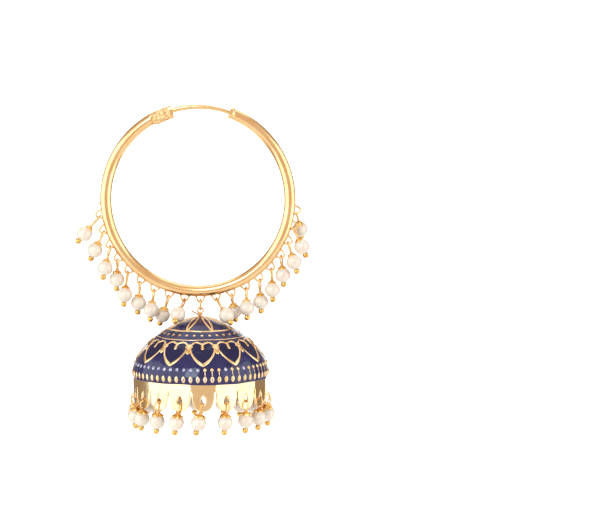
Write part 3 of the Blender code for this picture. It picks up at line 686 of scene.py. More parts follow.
half_pin = PIN_LENGTH / 2
rivet_profile = [(0, half_pin + HEAD_RISE), (0.15, half_pin + HEAD_RISE * 0.8),
                 (PIN_RADIUS + 0.08, half_pin), (PIN_RADIUS + 0.06, half_pin - 0.06),
                 (PIN_RADIUS, half_pin - 0.08)]
rivet_profile += [(out, -up) for out, up in reversed(rivet_profile)]
along_y = axes_matrix((1, 0, 0), (0, 0, 1), (0, -1, 0), pin_place)
hole_profile = [(0, half_pin), (PIN_HOLE, half_pin), (PIN_HOLE, -half_pin), (0, -half_pin)]
cut_away(ear_wire_arc, placed(turned(hole_profile, 24), along_y))
tidy_mesh(ear_wire_arc.data, outwards=False)
add_piece("hinge_rivet", [(placed(turned(rivet_profile, 20), along_y), polished_gold)],
          "hoop", ["hinge_pin"])
print("ear wire from", round(float(PIN_ANGLE), 1), "to", round(float(wire_end), 1), "degrees")

# %% [markdown]
# ## A pearl drop
# Each drop is a head pin: a ball under a pearl, a small flower-like cap over
# it, two wraps of the wire and an eye. The local frame has the eye's crown at
# the origin and the drop hanging down Z. Two eye shapes are needed: a pear
# shape on the hoop, and a long oval round the scallops of the rim. The
# hoop's caps are smaller than the rim's.

# %% The drop's pieces
PEARL_RADIUS = 1.575
BALL_RADIUS = 0.625
BALL_DROP = 1.925
CAP_RADIUS = 1.12
HOOP_CAP_RADIUS = 0.86
CAP_TIP_SPHERE = 1.6986
CAP_HEIGHT = 0.5
PEARL_SINK = 1.217
CAP_GAP = 0.2
CAP_PEAK = 0.22
CAP_THICKNESS = 0.28
TIP_RADIUS = 0.17
WRAP_LENGTH = 0.3
WRAP_TURNS = 2.2
WRAP_WIRE = 0.13
NECK_WIRE = 0.16
COLLAR = np.array([(0, 0.1), (0.34, 0.02), (0.4, -0.08), (0.3, -0.2), (0, -0.2)])
EYE_WIRE = 0.35
EYE_WIDTH = 1.4
EYE_STEPS = 40
RIM_EYE_WIDTH = 1.9
PETALS = 7


def pear_eye(height, width):
    """Closed path: down is half the height times 1 - cos t, and across is
    sin t times cos(t/2) to 0.7, so that the eye is round above and narrow at
    its neck."""
    t = full_turn(EYE_STEPS)
    shape = np.sin(t) * np.abs(np.cos(t / 2)) ** 0.7
    across = width / 2 * shape / shape.max()
    return np.stack([0 * t, across, -height / 2 * (1 - np.cos(t))], -1)


def oval_eye(height, width):
    """Closed path with round ends: a circle whose halves are drawn apart."""
    t = full_turn(EYE_STEPS)
    straight = (height - width) / 2
    down = width / 2 * np.cos(t) + np.tanh(6 * np.cos(t)) * straight - height / 2
    return np.stack([0 * t, width / 2 * np.sin(t), down], -1)


def petal_cap(centre, radius):
    """A cap of two shells that lie on the pearl: a sphere a little larger
    than it, whose edge swings by a cosine for each petal and is lifted at
    the tips."""
    share = np.linspace(0.16, 1, 8)[:, None]
    turn = full_turn(PETALS * 8)[None]
    edge = radius * (0.95 + 0.12 * np.cos(PETALS * turn))
    out = edge * share
    rib = 0.05 * np.cos(PETALS * turn) * share
    top = (centre + np.sqrt((PEARL_RADIUS + CAP_GAP) ** 2 - out ** 2) + rib
           + CAP_PEAK * (1 - share))
    shells = [np.stack([out * np.cos(turn), out * np.sin(turn), top + shift], -1)
              for shift in (0.0, -CAP_THICKNESS)]
    return grid(np.concatenate([shells[0], shells[1][::-1]]), True, True)


def drop_parts(eye_height, eye_path, cap_radius):
    """The surfaces of a drop, from the eye down: wire, cap, pearl, ball."""
    neck = -(eye_height - EYE_WIRE)
    cap_bottom = neck - WRAP_LENGTH - CAP_HEIGHT
    centre = cap_bottom - PEARL_SINK
    stem = swept([(0, 0, neck), (0, 0, cap_bottom)], NECK_WIRE, 8, (1, 0, 0))
    eye = swept(eye_path, EYE_WIRE / 2, 9, (1, 0, 0), closed=True)
    wrap_path = helix(0.23, 0.05, WRAP_TURNS, neck + 0.12, neck - WRAP_LENGTH + 0.02, 44)
    wire = together([eye, stem, swept(wrap_path, WRAP_WIRE, 7, (0, 0, 1))])
    tip_height = centre + math.sqrt(CAP_TIP_SPHERE ** 2 - cap_radius ** 2)
    tips = [ball(TIP_RADIUS * cap_radius / CAP_RADIUS,
                 (cap_radius * math.cos(t), cap_radius * math.sin(t), tip_height), 7, 8)
            for t in full_turn(PETALS)]
    collar = turned(COLLAR + (0, neck - WRAP_LENGTH), 16)
    cap = together([petal_cap(centre, cap_radius), collar] + tips)
    bead = ball(PEARL_RADIUS, (0, 0, centre), 23, 36)
    foot = ball(BALL_RADIUS, (0, 0, centre - BALL_DROP), 15, 22)
    return wire, cap, bead, foot


def add_drop(name, eye_height, eye_path, cap_radius, matrix, body, node):
    """A drop as two pieces, its pearl and its gold fittings."""
    parts = drop_parts(eye_height, eye_path, cap_radius)
    wire, cap, bead, foot = (placed(part, matrix) for part in parts)
    add_piece(f"{name}_pearl", [(bead, pearl)], body, [node])
    parts = [(wire, wire_gold), (cap, cap_gold), (foot, ball_gold)]
    add_piece(f"{name}_fittings", parts, body)


def drop_matrix(crown, down, side):
    """Frame of a drop: Y along the eye's side and Z up its axis."""
    return axes_matrix(np.cross(down, side), side, -down, crown)


# %% [markdown]
# ## Drops on the hoop
# The drops crowd each other, so each leans its own way. The rows give where
# each eye's crown hangs and how its drop leans, as the CAD has settled them
# clear of the dome.

# %% Hang the hoop's drops
HOOP_DROPS = (
    # x, y, z of the eye's crown, lean, forward, turn, eye height
    (-19.979, 0.040, -22.197, -41, 5, 10, 3.290),
    (-19.191, -0.048, -25.338, -26.5, -6, -20, 2.820),
    (-18.010, 0.047, -28.322, -12.5, 6, 20, 3.102),
    (-16.482, -0.047, -31.091, -3.5, -6, -25, 2.632),
    (-14.438, 0.047, -33.575, -7, 6, 15, 3.290),
    (-11.908, -0.070, -35.690, -5.5, -9, -25, 2.961),
    (-9.073, 0.062, -37.371, -7.5, 8, 22, 2.585),
    (-6.003, -0.145, -38.600, -19, -19, -25, 3.055),
    (-2.741, 0.332, -39.421, -24, 48, 25, 2.914),
    (3.617, 0.262, -39.228, 34.5, 36, -20, 3.243),
    (6.822, -0.203, -38.355, 8, -27, 20, 2.585),
    (9.840, 0.070, -36.976, 2, 9, -25, 2.585),
    (12.602, -0.062, -35.176, 2.5, -8, 22, 3.196),
    (15.041, 0.039, -32.957, 2.5, 5, -20, 2.867),
    (16.980, -0.039, -30.390, 5.5, -5, 25, 2.444),
    (18.391, 0.047, -27.559, 17, 6, -22, 2.726),
    (19.446, -0.040, -24.528, 24, -5, 20, 2.820),
    (20.133, -0.285, -21.448, 12, -38, -10, 3.102),
)


def turned_side(down, across, degrees):
    """Across made square to down, then turned about it: cosine times the
    side plus sine times down crossed with the side."""
    side = unit(across - down * (across @ down))
    turn = math.radians(degrees)
    return side * math.cos(turn) + np.cross(down, side) * math.sin(turn)


for number, (x, y, z, lean, forward, turn, eye_height) in enumerate(HOOP_DROPS, 1):
    sideways, ahead = math.radians(lean), math.radians(forward)
    down = np.array((math.sin(sideways) * math.cos(ahead), -math.sin(ahead),
                     -math.cos(sideways) * math.cos(ahead)))
    side = turned_side(down, np.array((0.0, 1.0, 0.0)), turn)
    eye = pear_eye(eye_height - EYE_WIRE, EYE_WIDTH - EYE_WIRE)
    matrix = drop_matrix((x, y, z), down, side)
    add_drop(f"hoop_{number:02d}", eye_height, eye, HOOP_CAP_RADIUS, matrix,
             "hoop", f"hoop_drop_{number:02d}")
print("drops on the hoop:", len(HOOP_DROPS))

# %% [markdown]
# ## The dome's form
# The dome is a shell of revolution: a crown whose section is a superellipse,
# over an upright wall. Every line and stud of its ornament lies on that same
# surface, so one function gives the point at an azimuth, at a depth under
# the apex and lifted off the metal. The upright wall is cut into 18 scallops,
# each bent a little flat, which breaks the band's reflections into panels.

# %% Points on the dome
APEX = np.array((0.432, 0.0, -42.906))
DOME_RADIUS = 14.0
CROWN = 11.0
ROUNDNESS = 1.6
DOME_TURN = 5.0
DOME_WALL = 0.5
SCALLOPS = 18
PITCH = 360 / SCALLOPS
FLATTENED = 0.8
SINK = 0.14


def crown_depth(radius):
    """Depth of the crown at a radius, from the superellipse."""
    share = 1 - (radius / DOME_RADIUS) ** ROUNDNESS
    return CROWN * (1 - np.maximum(share, 0) ** (1 / ROUNDNESS))


def crown_radius(depth):
    """Radius of the crown at a depth, from the superellipse."""
    share = 1 - np.maximum(1 - depth / CROWN, 0) ** ROUNDNESS
    return DOME_RADIUS * share ** (1 / ROUNDNESS)


def on_dome(azimuth, depth, lift=0.0):
    """Point of the dome. Azimuth 0 faces the viewer and grows to the right.
    The point moves off the metal by lift along the superellipse's gradient.
    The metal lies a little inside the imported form, which leaves room for the
    enamel and the raised lines."""
    azimuth, depth, lift = np.broadcast_arrays(azimuth, depth, np.subtract(lift, SINK))
    radius = crown_radius(depth)
    steep = (radius / DOME_RADIUS) ** (ROUNDNESS - 1) / DOME_RADIUS
    level = np.maximum(1 - depth / CROWN, 0) ** (ROUNDNESS - 1) / CROWN
    length = np.hypot(steep, level)
    offset = (azimuth - DOME_TURN + PITCH / 2) % PITCH - PITCH / 2
    facet = np.cos(np.radians(PITCH / 2)) / np.cos(np.radians(offset))
    bent = 1 - FLATTENED * smoothstep(11.5, 12.3, depth) * (1 - facet)
    out = radius * bent + lift * steep / length
    turn = np.radians(azimuth)
    place = np.stack([out * np.sin(turn), -out * np.cos(turn),
                      -depth + lift * level / length], -1)
    return place + APEX


def surface_up(azimuth, depth):
    """Direction off the metal, from two points of the same line."""
    return unit(on_dome(azimuth, depth, 1.0) - on_dome(azimuth, depth, 0.0))


# %% [markdown]
# ## The shell
# The shell is one closed surface with three finishes: enamel outside down to
# a wavy edge, bare gold on the band and the scallops, and duller gold inside.
# The enamel stands proud of the band with a rounded edge, and it sags a
# little between the raised lines of each heart, as melted glass does.

# %% Hearts as an outline in polar form
HEARTS = 12
HEART_MIDDLE = 6.1
half_heart = curve_through(
    [(0, 4.72), (0.5, 4.46), (1.2, 4.32), (1.95, 4.55), (2.42, 5.15), (2.42, 5.9),
     (1.95, 6.85), (1.1, 7.8), (0, 8.55)], 49)
heart_outline = np.concatenate([half_heart, (half_heart * (-1, 1))[-2:0:-1]])
heart_angle = np.arctan2(heart_outline[:, 0], heart_outline[:, 1] - HEART_MIDDLE)
heart_reach = np.hypot(heart_outline[:, 0], heart_outline[:, 1] - HEART_MIDDLE)


def in_heart(azimuth, depth):
    """1 in the middle of a heart and 0 at its outline: one minus the squared
    share of the way to the outline in the point's own direction."""
    pitch = 360 / HEARTS
    offset = (azimuth - DOME_TURN + pitch / 2) % pitch - pitch / 2
    across = crown_radius(depth) * np.radians(offset)
    angle = np.arctan2(across, depth - HEART_MIDDLE)
    reach = np.interp(angle, heart_angle, heart_reach, period=2 * np.pi)
    share = np.hypot(across, depth - HEART_MIDDLE) / reach
    return np.clip(1 - share ** 2, 0, 1)


# %% The shell's crown
COLUMNS = 16
STEM_HOLE = 0.36
BAND_BOTTOM = 12.75
ENAMEL = 0.12
ENAMEL_BOTTOM = 12.42
SAG = 0.17
BEAD_DEPTH = 10.9
BEAD_RISE = 0.07
BEAD_WIDTH = 0.3
EDGE_START = 0.3


def enamel_edge(azimuth):
    """Depth of the enamel's lower edge, a sum of slow waves."""
    turn = np.radians(azimuth)
    return (ENAMEL_BOTTOM + 0.1 * np.sin(turn - 0.3) + 0.05 * np.sin(5 * turn)
            + 0.03 * np.sin(11 * turn + 1))


column_offset = np.linspace(-PITCH / 2, PITCH / 2, COLUMNS + 1)[:-1]
column_azimuth = (DOME_TURN + PITCH * np.arange(SCALLOPS)[:, None] + column_offset).ravel()
crown_share = np.linspace((STEM_HOLE / DOME_RADIUS) ** (ROUNDNESS / 2), 1, 84)
crown_radii = DOME_RADIUS * np.sin(np.pi / 2 * crown_share) ** (2 / ROUNDNESS)
crown_depths = crown_depth(crown_radii)[:, None] + 0 * column_azimuth
edge = enamel_edge(column_azimuth)[None]
wall_share = np.linspace(0, 1, 9)[1:, None]
wall_depths = CROWN + (edge - EDGE_START - CROWN) * wall_share
edge_fall = np.array([-0.2, -0.12, -0.06, -0.02, 0.0])[:, None]
edge_lift = np.array([0.98, 0.9, 0.72, 0.45, 0.0])[:, None]
edge_depths = edge + edge_fall
enamel_depths = np.concatenate([crown_depths, wall_depths, edge_depths])
bead = BEAD_RISE * np.exp(-((enamel_depths - BEAD_DEPTH) / BEAD_WIDTH) ** 2)
enamel_lift = ENAMEL + bead - SAG * in_heart(column_azimuth, enamel_depths)
enamel_lift[-len(edge_lift):] = ENAMEL * edge_lift
band_depths = edge + (BAND_BOTTOM - edge) * np.linspace(0, 1, 4)[:, None]
enamel_grid = grid(on_dome(column_azimuth, enamel_depths, enamel_lift), False, True)
band_grid = grid(on_dome(column_azimuth, band_depths), False, True)
inner_radii = np.concatenate([crown_radii[::3], [DOME_RADIUS]])
inner_depths = np.append(crown_depth(inner_radii), [11.8, BAND_BOTTOM])[:, None]
inner_grid = grid(on_dome(column_azimuth, inner_depths, -DOME_WALL), False, True)
stem_wall = grid(np.stack([on_dome(column_azimuth, enamel_depths[0], enamel_lift[0]),
                           on_dome(column_azimuth, inner_depths[0], -DOME_WALL)]), False, True)
print("crown rows:", len(enamel_depths), "columns:", len(column_azimuth))

# %% [markdown]
# ## Scallops
# Each scallop is a band of grid rows between two closed lines: the teardrop
# hole and the scallop's own outline. The rows run from one line to the other,
# so the hole and the rounded foot are both true curves, and the edges of the
# metal get a small chamfer that catches the light.

# %% One scallop, then eighteen
SLIT_TOP = 13.8
SCALLOP_BOTTOM = 17.85
SLIT_HALF = 0.12
HOLE_TOP = 14.5
HOLE_HEIGHT = 1.95
HOLE_WIDTH = 1.1
HOLE_MIDDLE = 15.6
CHAMFER = 0.06
half_pitch = math.radians(PITCH / 2) * DOME_RADIUS

top_line = np.stack([np.radians(np.append(column_offset, PITCH / 2)) * DOME_RADIUS,
                     np.full(COLUMNS + 1, BAND_BOTTOM)], -1)
side_line = np.stack([np.full(5, half_pitch), np.linspace(BAND_BOTTOM, SLIT_TOP, 5)], -1)
foot_turn = np.linspace(0, np.pi / 2, 20)
foot_line = np.stack([(half_pitch - SLIT_HALF) * np.cos(foot_turn) ** 0.85,
                      SLIT_TOP + 0.2 + (SCALLOP_BOTTOM - SLIT_TOP - 0.2)
                      * np.sin(foot_turn) ** 0.75], -1)
slit_curve = np.stack([half_pitch - SLIT_HALF * np.sin(np.radians([30, 60])),
                       SLIT_TOP + 0.2 * (1 - np.cos(np.radians([30, 60])))], -1)
right_edge = np.concatenate([side_line[-1:], slit_curve, foot_line])
left_edge = (right_edge * (-1, 1))[::-1]
outline = np.concatenate([top_line[:-1], side_line[:-1], right_edge[:-1], left_edge[:-1],
                          (side_line * (-1, 1))[::-1][:-1]])
first_free = len(top_line) - 1 + len(side_line) - 1
free_points = np.arange(first_free, first_free + 2 * len(right_edge) - 1)

hole_turn = full_turn(96)
hole_shape = np.sin(hole_turn) * np.abs(np.sin(hole_turn / 2)) ** 1.2
hole = np.stack([HOLE_WIDTH / 2 * hole_shape / hole_shape.max(),
                 HOLE_TOP + HOLE_HEIGHT / 2 * (1 - np.cos(hole_turn))], -1)
hole_angle = np.arctan2(hole[:, 0], hole[:, 1] - HOLE_MIDDLE)
hole_reach = np.hypot(hole[:, 0], hole[:, 1] - HOLE_MIDDLE)
order = np.argsort(hole_angle)
outline_angle = np.arctan2(outline[:, 0], outline[:, 1] - HOLE_MIDDLE)
reach = np.interp(outline_angle, hole_angle[order], hole_reach[order], period=2 * np.pi)
hole_line = np.stack([reach * np.sin(outline_angle),
                      HOLE_MIDDLE + reach * np.cos(outline_angle)], -1)
row_share = np.array([0, 0.04, 0.15, 0.3, 0.5, 0.7, 0.85, 0.96, 1])[:, None, None]
patch = hole_line + (outline - hole_line) * row_share


def scallop_face(number, low, edge_low):
    """The patch on the wall, sunk by low, and by edge_low along the hole and
    the free outline."""
    azimuth = DOME_TURN + PITCH * number + np.degrees(patch[..., 0] / DOME_RADIUS)
    sunk = np.full(patch.shape[:2], low)
    sunk[0] = edge_low
    sunk[-1, free_points % len(outline)] = edge_low
    return on_dome(azimuth, patch[..., 1], -sunk)


def scallop_surface(number):
    """Outside, inside and the walls of the hole and of the free outline."""
    outside = scallop_face(number, 0.0, CHAMFER)
    inside = scallop_face(number, DOME_WALL, DOME_WALL - CHAMFER)
    hole_wall = grid(np.stack([outside[0], inside[0]]), False, True)
    free = free_points % len(outline)
    edge_wall = grid(np.stack([outside[-1, free], inside[-1, free]]))
    front = together([grid(outside, False, True), hole_wall, edge_wall])
    return front, grid(inside, False, True)


scallops = [scallop_surface(number) for number in range(SCALLOPS)]
shell_parts = [
    (enamel_grid, enamel),
    (together([band_grid] + [face for face, _ in scallops]), rim_gold),
    (together([inner_grid, stem_wall] + [face for _, face in scallops]), inner_gold),
]
dome_shell = add_piece("dome_shell", shell_parts, "dome", ["dome"])
local = points_of(dome_shell) - APEX
shell_azimuth = np.degrees(np.arctan2(local[:, 0], -local[:, 1]))
# The hearts' share, which the enamel turns into painted shade.
heart_shade_share = smoothstep(0.0, 0.25, in_heart(shell_azimuth, np.clip(-local[:, 2], 0.01, CROWN)))
store(dome_shell, "thick", heart_shade_share)
print("dome shell:", len(dome_shell.data.polygons), "faces")

# %% [markdown]
# ## Raised gold lines
# Thin ridges of the metal stand through the enamel: two rings, a rosette of
# double lines round the top and a row of hearts. Each is a wire half sunk in
# the surface, swept along a path on the dome, with the surface's own
# direction as its up.

# %% Rings, rosette and hearts
LINE_LIFT = 0.1
LINE_FLATNESS = 0.55


def ridge(azimuth, depth, radius, closed=False, sides=8):
    """A flattened wire along a path on the dome, half of it over the enamel."""
    azimuth, depth = np.broadcast_arrays(azimuth, depth)
    path = on_dome(azimuth, depth, LINE_LIFT)
    return swept(path, radius, sides, surface_up(azimuth, depth), closed, LINE_FLATNESS)


round_turns = np.linspace(0, 360, 180, endpoint=False)
ring_waves = (0.03 * np.sin(np.radians(round_turns * 4))
              + 0.02 * np.sin(np.radians(round_turns * 9)))
rings = [ridge(round_turns, crown_depth(6.9) + ring_waves, 0.21, True),
         ridge(round_turns, crown_depth(9.1) - ring_waves, 0.12, True)]

LEAF_TURN = 23.5
LEAF_START = 0.75
LEAF_END = 6.8
leaf = np.linspace(0, 1, 26)
leaf_radius = LEAF_START + (LEAF_END - LEAF_START) * leaf
leaf_spread = 0.46 * np.sin(np.pi * leaf) ** 0.8
leaves = []
for foot in LEAF_TURN + 45 * np.arange(8):
    for side in (-1, 1):
        azimuth = foot + side * np.degrees((leaf_spread + 0.06) / leaf_radius)
        leaves.append(ridge(azimuth, crown_depth(leaf_radius), 0.17 + 0.06 * leaf))

heart_depth = heart_outline[:, 1]
heart_turn = np.degrees(heart_outline[:, 0] / crown_radius(heart_depth))
heart_line = 0.19 + 0.13 * smoothstep(6.9, 8.3, heart_depth)
heart_centres = DOME_TURN + 360 / HEARTS * np.arange(HEARTS)
hearts = [ridge(centre + heart_turn, heart_depth, heart_line, True)
          for centre in heart_centres]
bar_depth = np.linspace(4.6, 5.45, 8)
bars = [ridge(centre + 0 * bar_depth, bar_depth, 0.25 + 0.06 * np.linspace(0, 1, 8))
        for centre in heart_centres]
gold_lines = together(rings + leaves + hearts + bars)
add_piece("dome_lines", [(gold_lines, line_gold)], "dome")
print("hearts:", len(hearts), "leaves:", len(leaves) // 2)

# %% [markdown]
# ## Studs
# Dots, webs between the hearts and the matchstick border are low domes on
# the surface. All studs of one kind are made in one array: each is a small
# grid whose height is a half ellipsoid over its own oval.

# %% Dots, webs and matchsticks
DOTS = 32
MATCHES = 60
MATCH_TURN = 1.5
HEAD_DEPTH = 9.4
FOOT_DEPTH = 11.3
COVERED_MIDDLE = -38
COVERED_REACH = 42
COVERED_SHARE = 0.25
WORN_REACH = 16
STUD_TURNS = full_turn(14)[None, None]
STUD_RINGS = np.array([0, 1.0, 0.93, 0.75, 0.5, 0.25, 0])[None, :, None]
STUD_HEIGHTS = np.array([-0.2, 0, 0.37, 0.66, 0.87, 0.97, 1.0])[None, :, None]


def studs(azimuths, depths, half_width, half_height, rise):
    """Half ellipsoids on a closed base: across and down follow the oval's
    cosine and sine, and each ring has its share of the rise."""
    azimuths = np.asarray(azimuths, float)[:, None, None]
    depths = np.broadcast_to(np.asarray(depths, float), azimuths.shape[:1])[:, None, None]
    across = half_width * STUD_RINGS * np.cos(STUD_TURNS)
    down = half_height * STUD_RINGS * np.sin(STUD_TURNS)
    height = rise * STUD_HEIGHTS + 0 * STUD_TURNS
    turn = azimuths + np.degrees(across / crown_radius(depths))
    points = on_dome(turn, depths + down, height + ENAMEL * 0.5)
    return together([grid(stud, False, True) for stud in points])


dots = studs(DOME_TURN + 360 / DOTS * np.arange(DOTS), crown_depth(8.05), 0.34, 0.2, 0.12)
web_centres = heart_centres + 180 / HEARTS
webs = together([studs(web_centres, 5.6, 0.5, 0.95, 0.24),
                 studs(web_centres, 5.05, 0.78, 0.42, 0.2)])
match_centres = DOME_TURN + MATCH_TURN + 360 / MATCHES * np.arange(MATCHES)
chance = np.random.default_rng(7).random(MATCHES)
from_covered = np.abs((match_centres - COVERED_MIDDLE + 180) % 360 - 180)
covered = (from_covered < COVERED_REACH) | (chance < COVERED_SHARE)
worn = np.abs((match_centres + 180) % 360 - 180) < WORN_REACH
feet = studs(match_centres, FOOT_DEPTH, 0.42, 0.74, 0.24)
heads_bare = studs(match_centres[~covered], HEAD_DEPTH, 0.36, 0.36, 0.26)
heads_covered = studs(match_centres[covered], HEAD_DEPTH, 0.36, 0.38, 0.24)
stem_depth = np.linspace(9.5, 10.9, 10)
stems_bare = together([ridge(centre + 0 * stem_depth, stem_depth, 0.09, sides=6)
                       for centre in match_centres[~covered]])
stems_covered = together([ridge(centre + 0 * stem_depth, stem_depth, 0.1, sides=6)
                          for centre in match_centres[covered]])
worn_centres = studs(match_centres[worn], FOOT_DEPTH, 0.24, 0.46, 0.3)
gold_studs = together([dots, webs, feet, heads_bare, stems_bare])
# The glazed heads and the worn centres take the thin glaze, whose whitish tones are a painted
# glint.
thinly_glazed = together([heads_covered, worn_centres])
stud_parts = [(gold_studs, line_gold), (thinly_glazed, thin_enamel_and_painted_glint), (stems_covered, enamel)]
add_piece("dome_studs", stud_parts, "dome")
print("matchsticks:", len(match_centres), "of them glazed:", int(covered.sum()))

# %% [markdown]
# ## The dome's hanger
# A ring links the hoop's lowest loop to the dome's own eye. That eye is a
# wire twisted twice round itself over the dome, with its cut tail left
# sticking out, and it passes through the top to a stop inside.

# %% Link, eye, knot and stop
LINK_CROWN = (0.432, 0.0, -39.4755)
LINK_HEIGHT = 2.5
LINK_WIDTH = 1.6
LINK_WIRE = 0.19
DOME_EYE = 1.5
DOME_EYE_WIRE = 0.17
KNOT_HEIGHT = 0.6
KNOT_TURNS = 2.6
KNOT_WIRE = 0.15
STEM_RADIUS = 0.22
TAIL_WIRE = 0.16

link_path = oval_eye(LINK_HEIGHT - 2 * LINK_WIRE, LINK_WIDTH - 2 * LINK_WIRE) + LINK_CROWN
link = swept(link_path, LINK_WIRE, 12, (1, 0, 0), closed=True)
add_piece("dome_link_ring", [(link, wire_gold)], "link", ["dome_link"])

eye_turn = full_turn(36)
eye_half = DOME_EYE / 2 - DOME_EYE_WIRE
eye_path = np.stack([eye_half * np.sin(eye_turn), 0 * eye_turn,
                     KNOT_HEIGHT + eye_half * (1 + np.cos(eye_turn))], -1)
knot_path = helix(0.26, 0.1, KNOT_TURNS, 0.62, 0.2, 60)
tail_path = curve_through([(-0.1, -0.3, 0.35), (-0.55, -0.4, 0.45), (-1.1, -0.35, 0.75),
                           (-1.75, -0.25, 1.15)], 20)
stop_profile = [(0, -0.66), (0.9, -0.68), (1.0, -0.75), (1.0, -0.9), (0.9, -0.98), (0, -1.0)]
hanger = together([
    swept(eye_path, DOME_EYE_WIRE, 10, (0, 1, 0), closed=True),
    swept(knot_path, KNOT_WIRE, 8, (0, 0, 1)),
    swept([(0, 0, 0.7), (0, 0, -0.9)], STEM_RADIUS, 10, (1, 0, 0)),
    turned(stop_profile, 24),
])
tail = swept(tail_path, TAIL_WIRE, 8, (0, 1, 0))
hanger_place = axes_matrix((1, 0, 0), (0, 1, 0), (0, 0, 1), APEX)
hanger_parts = [(placed(hanger, hanger_place), wire_gold),
                (placed(tail, hanger_place), inner_gold)]
add_piece("dome_hanger", hanger_parts, "dome", ["dome_eye_pin"])
print("link and hanger made")

# %% [markdown]
# ## Drops round the rim
# Each drop's eye passes through a teardrop hole and round the scallop's foot.
# The leans are the CAD's, and each eye is twisted a little its own way, as
# far as the hole lets it.

# %% Hang the rim's drops
RIM_LEANS = (-14, -5, -4, -12, 6, -8, 10, 3, -6, 8, -4, 5, -9, 4, 7, -8, -6, -10)
RIM_TWISTS = (28, -24, 20, 30, -28, 22, -30, 26, -20, 28, -26, 24, -30, 20, 26, -28, 30, -22)
RIM_CROWN_DEPTH = 16.1
RIM_EYE_HEIGHT = 2.401

for number, (lean, twist) in enumerate(zip(RIM_LEANS, RIM_TWISTS)):
    turn = math.radians(DOME_TURN + PITCH * number)
    outward = np.array((math.sin(turn), -math.cos(turn), 0.0))
    sideways = np.array((math.cos(turn), math.sin(turn), 0.0))
    crown = APEX + outward * (DOME_RADIUS - DOME_WALL / 2) - (0, 0, RIM_CROWN_DEPTH)
    tilt = math.radians(lean)
    down = sideways * math.sin(tilt) - np.array((0, 0, math.cos(tilt)))
    eye = oval_eye(RIM_EYE_HEIGHT - EYE_WIRE, RIM_EYE_WIDTH - EYE_WIRE)
    matrix = drop_matrix(crown, down, turned_side(down, outward, twist))
    add_drop(f"rim_{number + 1:02d}", RIM_EYE_HEIGHT, eye, CAP_RADIUS, matrix,
             "dome", f"rim_drop_{number + 1:02d}")
print("drops on the rim:", len(RIM_LEANS))

# %% [markdown]
# ## Floor and light
# Polished metal shows its surroundings, so the light is built for what the
# gold should reflect: a wide soft panel on each side, one overhead and a
# calmer, warmer middle. A sheet of white paper lies under the earring and
# curves up behind it. Its far part glows a little, so that it stays white.

# %% Paper, sky and panels
PAPER_LOW = -130.0
PAPER_FRONT = -350.0
PAPER_BEND = 330.0
PAPER_TOP = 260.0
BEND_RADIUS = 120.0
PAPER_HALF_WIDTH = 155.0
PAPER_MIDDLE = 20.9

rounding = np.linspace(0, np.pi / 2, 24)
paper_line = np.concatenate([
    [(PAPER_FRONT, PAPER_LOW)],
    np.stack([PAPER_BEND + BEND_RADIUS * np.sin(rounding),
              PAPER_LOW + BEND_RADIUS * (1 - np.cos(rounding))], -1),
    [(PAPER_BEND + BEND_RADIUS, PAPER_TOP)]])
paper_sides = [PAPER_MIDDLE + side * PAPER_HALF_WIDTH for side in (-1, 1)]
paper_points = np.stack([np.column_stack([np.full(len(paper_line), across), paper_line])
                         for across in paper_sides], 1)
paper = Finish("paper", {"Roughness": 0.9, "Specular IOR Level": 0.1, "Emission Strength": 0.5})
apart = paper.node("SeparateXYZ", {}, {"Vector": paper.place}, "Y")
far = paper.node("MapRange", {"interpolation_type": "SMOOTHSTEP"},
                 {"Value": apart, "From Min": 0.05, "From Max": 0.22})
paper_tone = paper.colour_mix(paper.noise(40.0), colour(250, 247, 244), colour(255, 253, 251))
paper_glow = paper.colour_mix(far, (0, 0, 0, 1), (1, 1, 1, 1))
paper_finish = paper.feed(base_color=paper_tone, emission_color=paper_glow)
paper_mesh = new_mesh("paper", [(grid(paper_points), paper_finish)])
paper_mesh.shade_smooth()
paper_sheet = new_object("paper", paper_mesh)

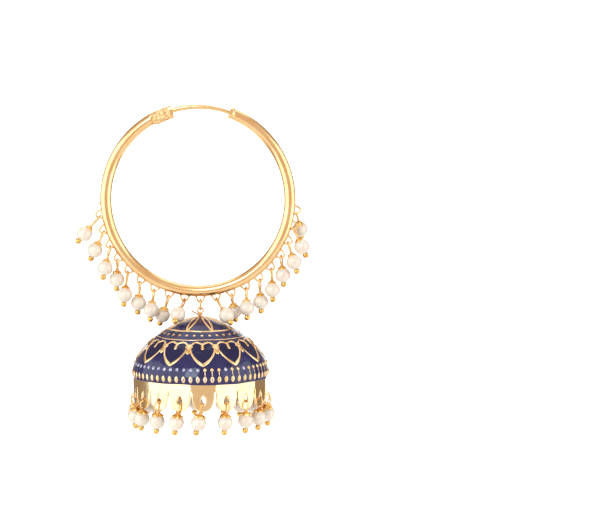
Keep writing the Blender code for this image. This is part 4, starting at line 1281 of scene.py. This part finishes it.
world = bpy.data.worlds.new("studio")
bpy.context.scene.world = world
world.use_nodes = True
sky = Nodes(world.node_tree)
sky_place = sky.node("TexCoord", {}, {}, "Generated")
behind = sky.node("MapRange", {"interpolation_type": "SMOOTHSTEP"},
                  {"Value": sky.node("SeparateXYZ", {}, {"Vector": sky_place}, "Y"),
                   "From Min": -0.2, "From Max": 0.5})
sky_tone = sky.colour_mix(behind, (0.78, 0.63, 0.53, 1), (0.34, 0.26, 0.2, 1))
seen = sky.node("LightPath", {}, {}, "Is Camera Ray")
sky_tone = sky.colour_mix(seen, sky_tone, (0.96, 0.96, 0.96, 1))
world.node_tree.links.new(sky_tone.socket, world.node_tree.nodes["Background"].inputs["Color"])

STAGE_MIDDLE = np.array((0.0, 0.0, -0.035))
PANEL_TONE = (0.87, 1.0, 1.1)


def add_panel(name, azimuth, height, distance, width, tall, radiance):
    """A soft panel that faces the earring. Its power is its radiance times
    pi times its area."""
    turn, rise = math.radians(azimuth), math.radians(height)
    away = np.array((math.sin(turn) * math.cos(rise), -math.cos(turn) * math.cos(rise),
                     math.sin(rise)))
    light = bpy.data.lights.new(name, "AREA")
    light.shape = "RECTANGLE"
    light.size, light.size_y = width, tall
    light.energy = radiance * math.pi * width * tall
    light.color = PANEL_TONE
    panel = new_object(name, light)
    panel.location = STAGE_MIDDLE + away * distance
    panel.rotation_euler = (math.pi / 2 - rise, 0, turn)
    panel.visible_camera = False


PANELS = (
    # name, azimuth, height, distance, width, height, radiance
    ("left_panel", -68, 5, 0.9, 1.7, 1.1, 1.25),
    ("right_panel", 74, 5, 0.9, 1.2, 1.1, 1.25),
    ("top_panel", 180, 73, 0.8, 0.9, 0.75, 1.1),
    ("key_light", -14, 27, 0.8, 0.26, 0.32, 5.0),
)
for panel in PANELS:
    add_panel(*panel)
print("panels:", len(PANELS))

# %% [markdown]
# ## Camera
# The camera stands 400 mm away at the ear wire's height and looks down a
# little. It is a long lens, so that the hoop stays round. The earring hangs
# left of the frame's middle, because the camera points past it.

# %% Camera
CAMERA_PLACE = (20.9, -400.0, -1.0)
CAMERA_PITCH = 4.468
FOCAL_PIXELS = 1955
FRAME_WIDTH = 600
SENSOR = 36.0

camera_data = bpy.data.cameras.new("camera")
camera_data.sensor_width = SENSOR
camera_data.lens = FOCAL_PIXELS / FRAME_WIDTH * SENSOR
camera_data.clip_start = 0.01
camera_data.clip_end = 50
camera = new_object("camera", camera_data)
camera.location = np.array(CAMERA_PLACE) * MM
camera.rotation_euler = (math.radians(90 - CAMERA_PITCH), 0, 0)
bpy.context.scene.camera = camera
bpy.context.scene.view_settings.view_transform = "Standard"
print("lens:", round(camera_data.lens, 1))
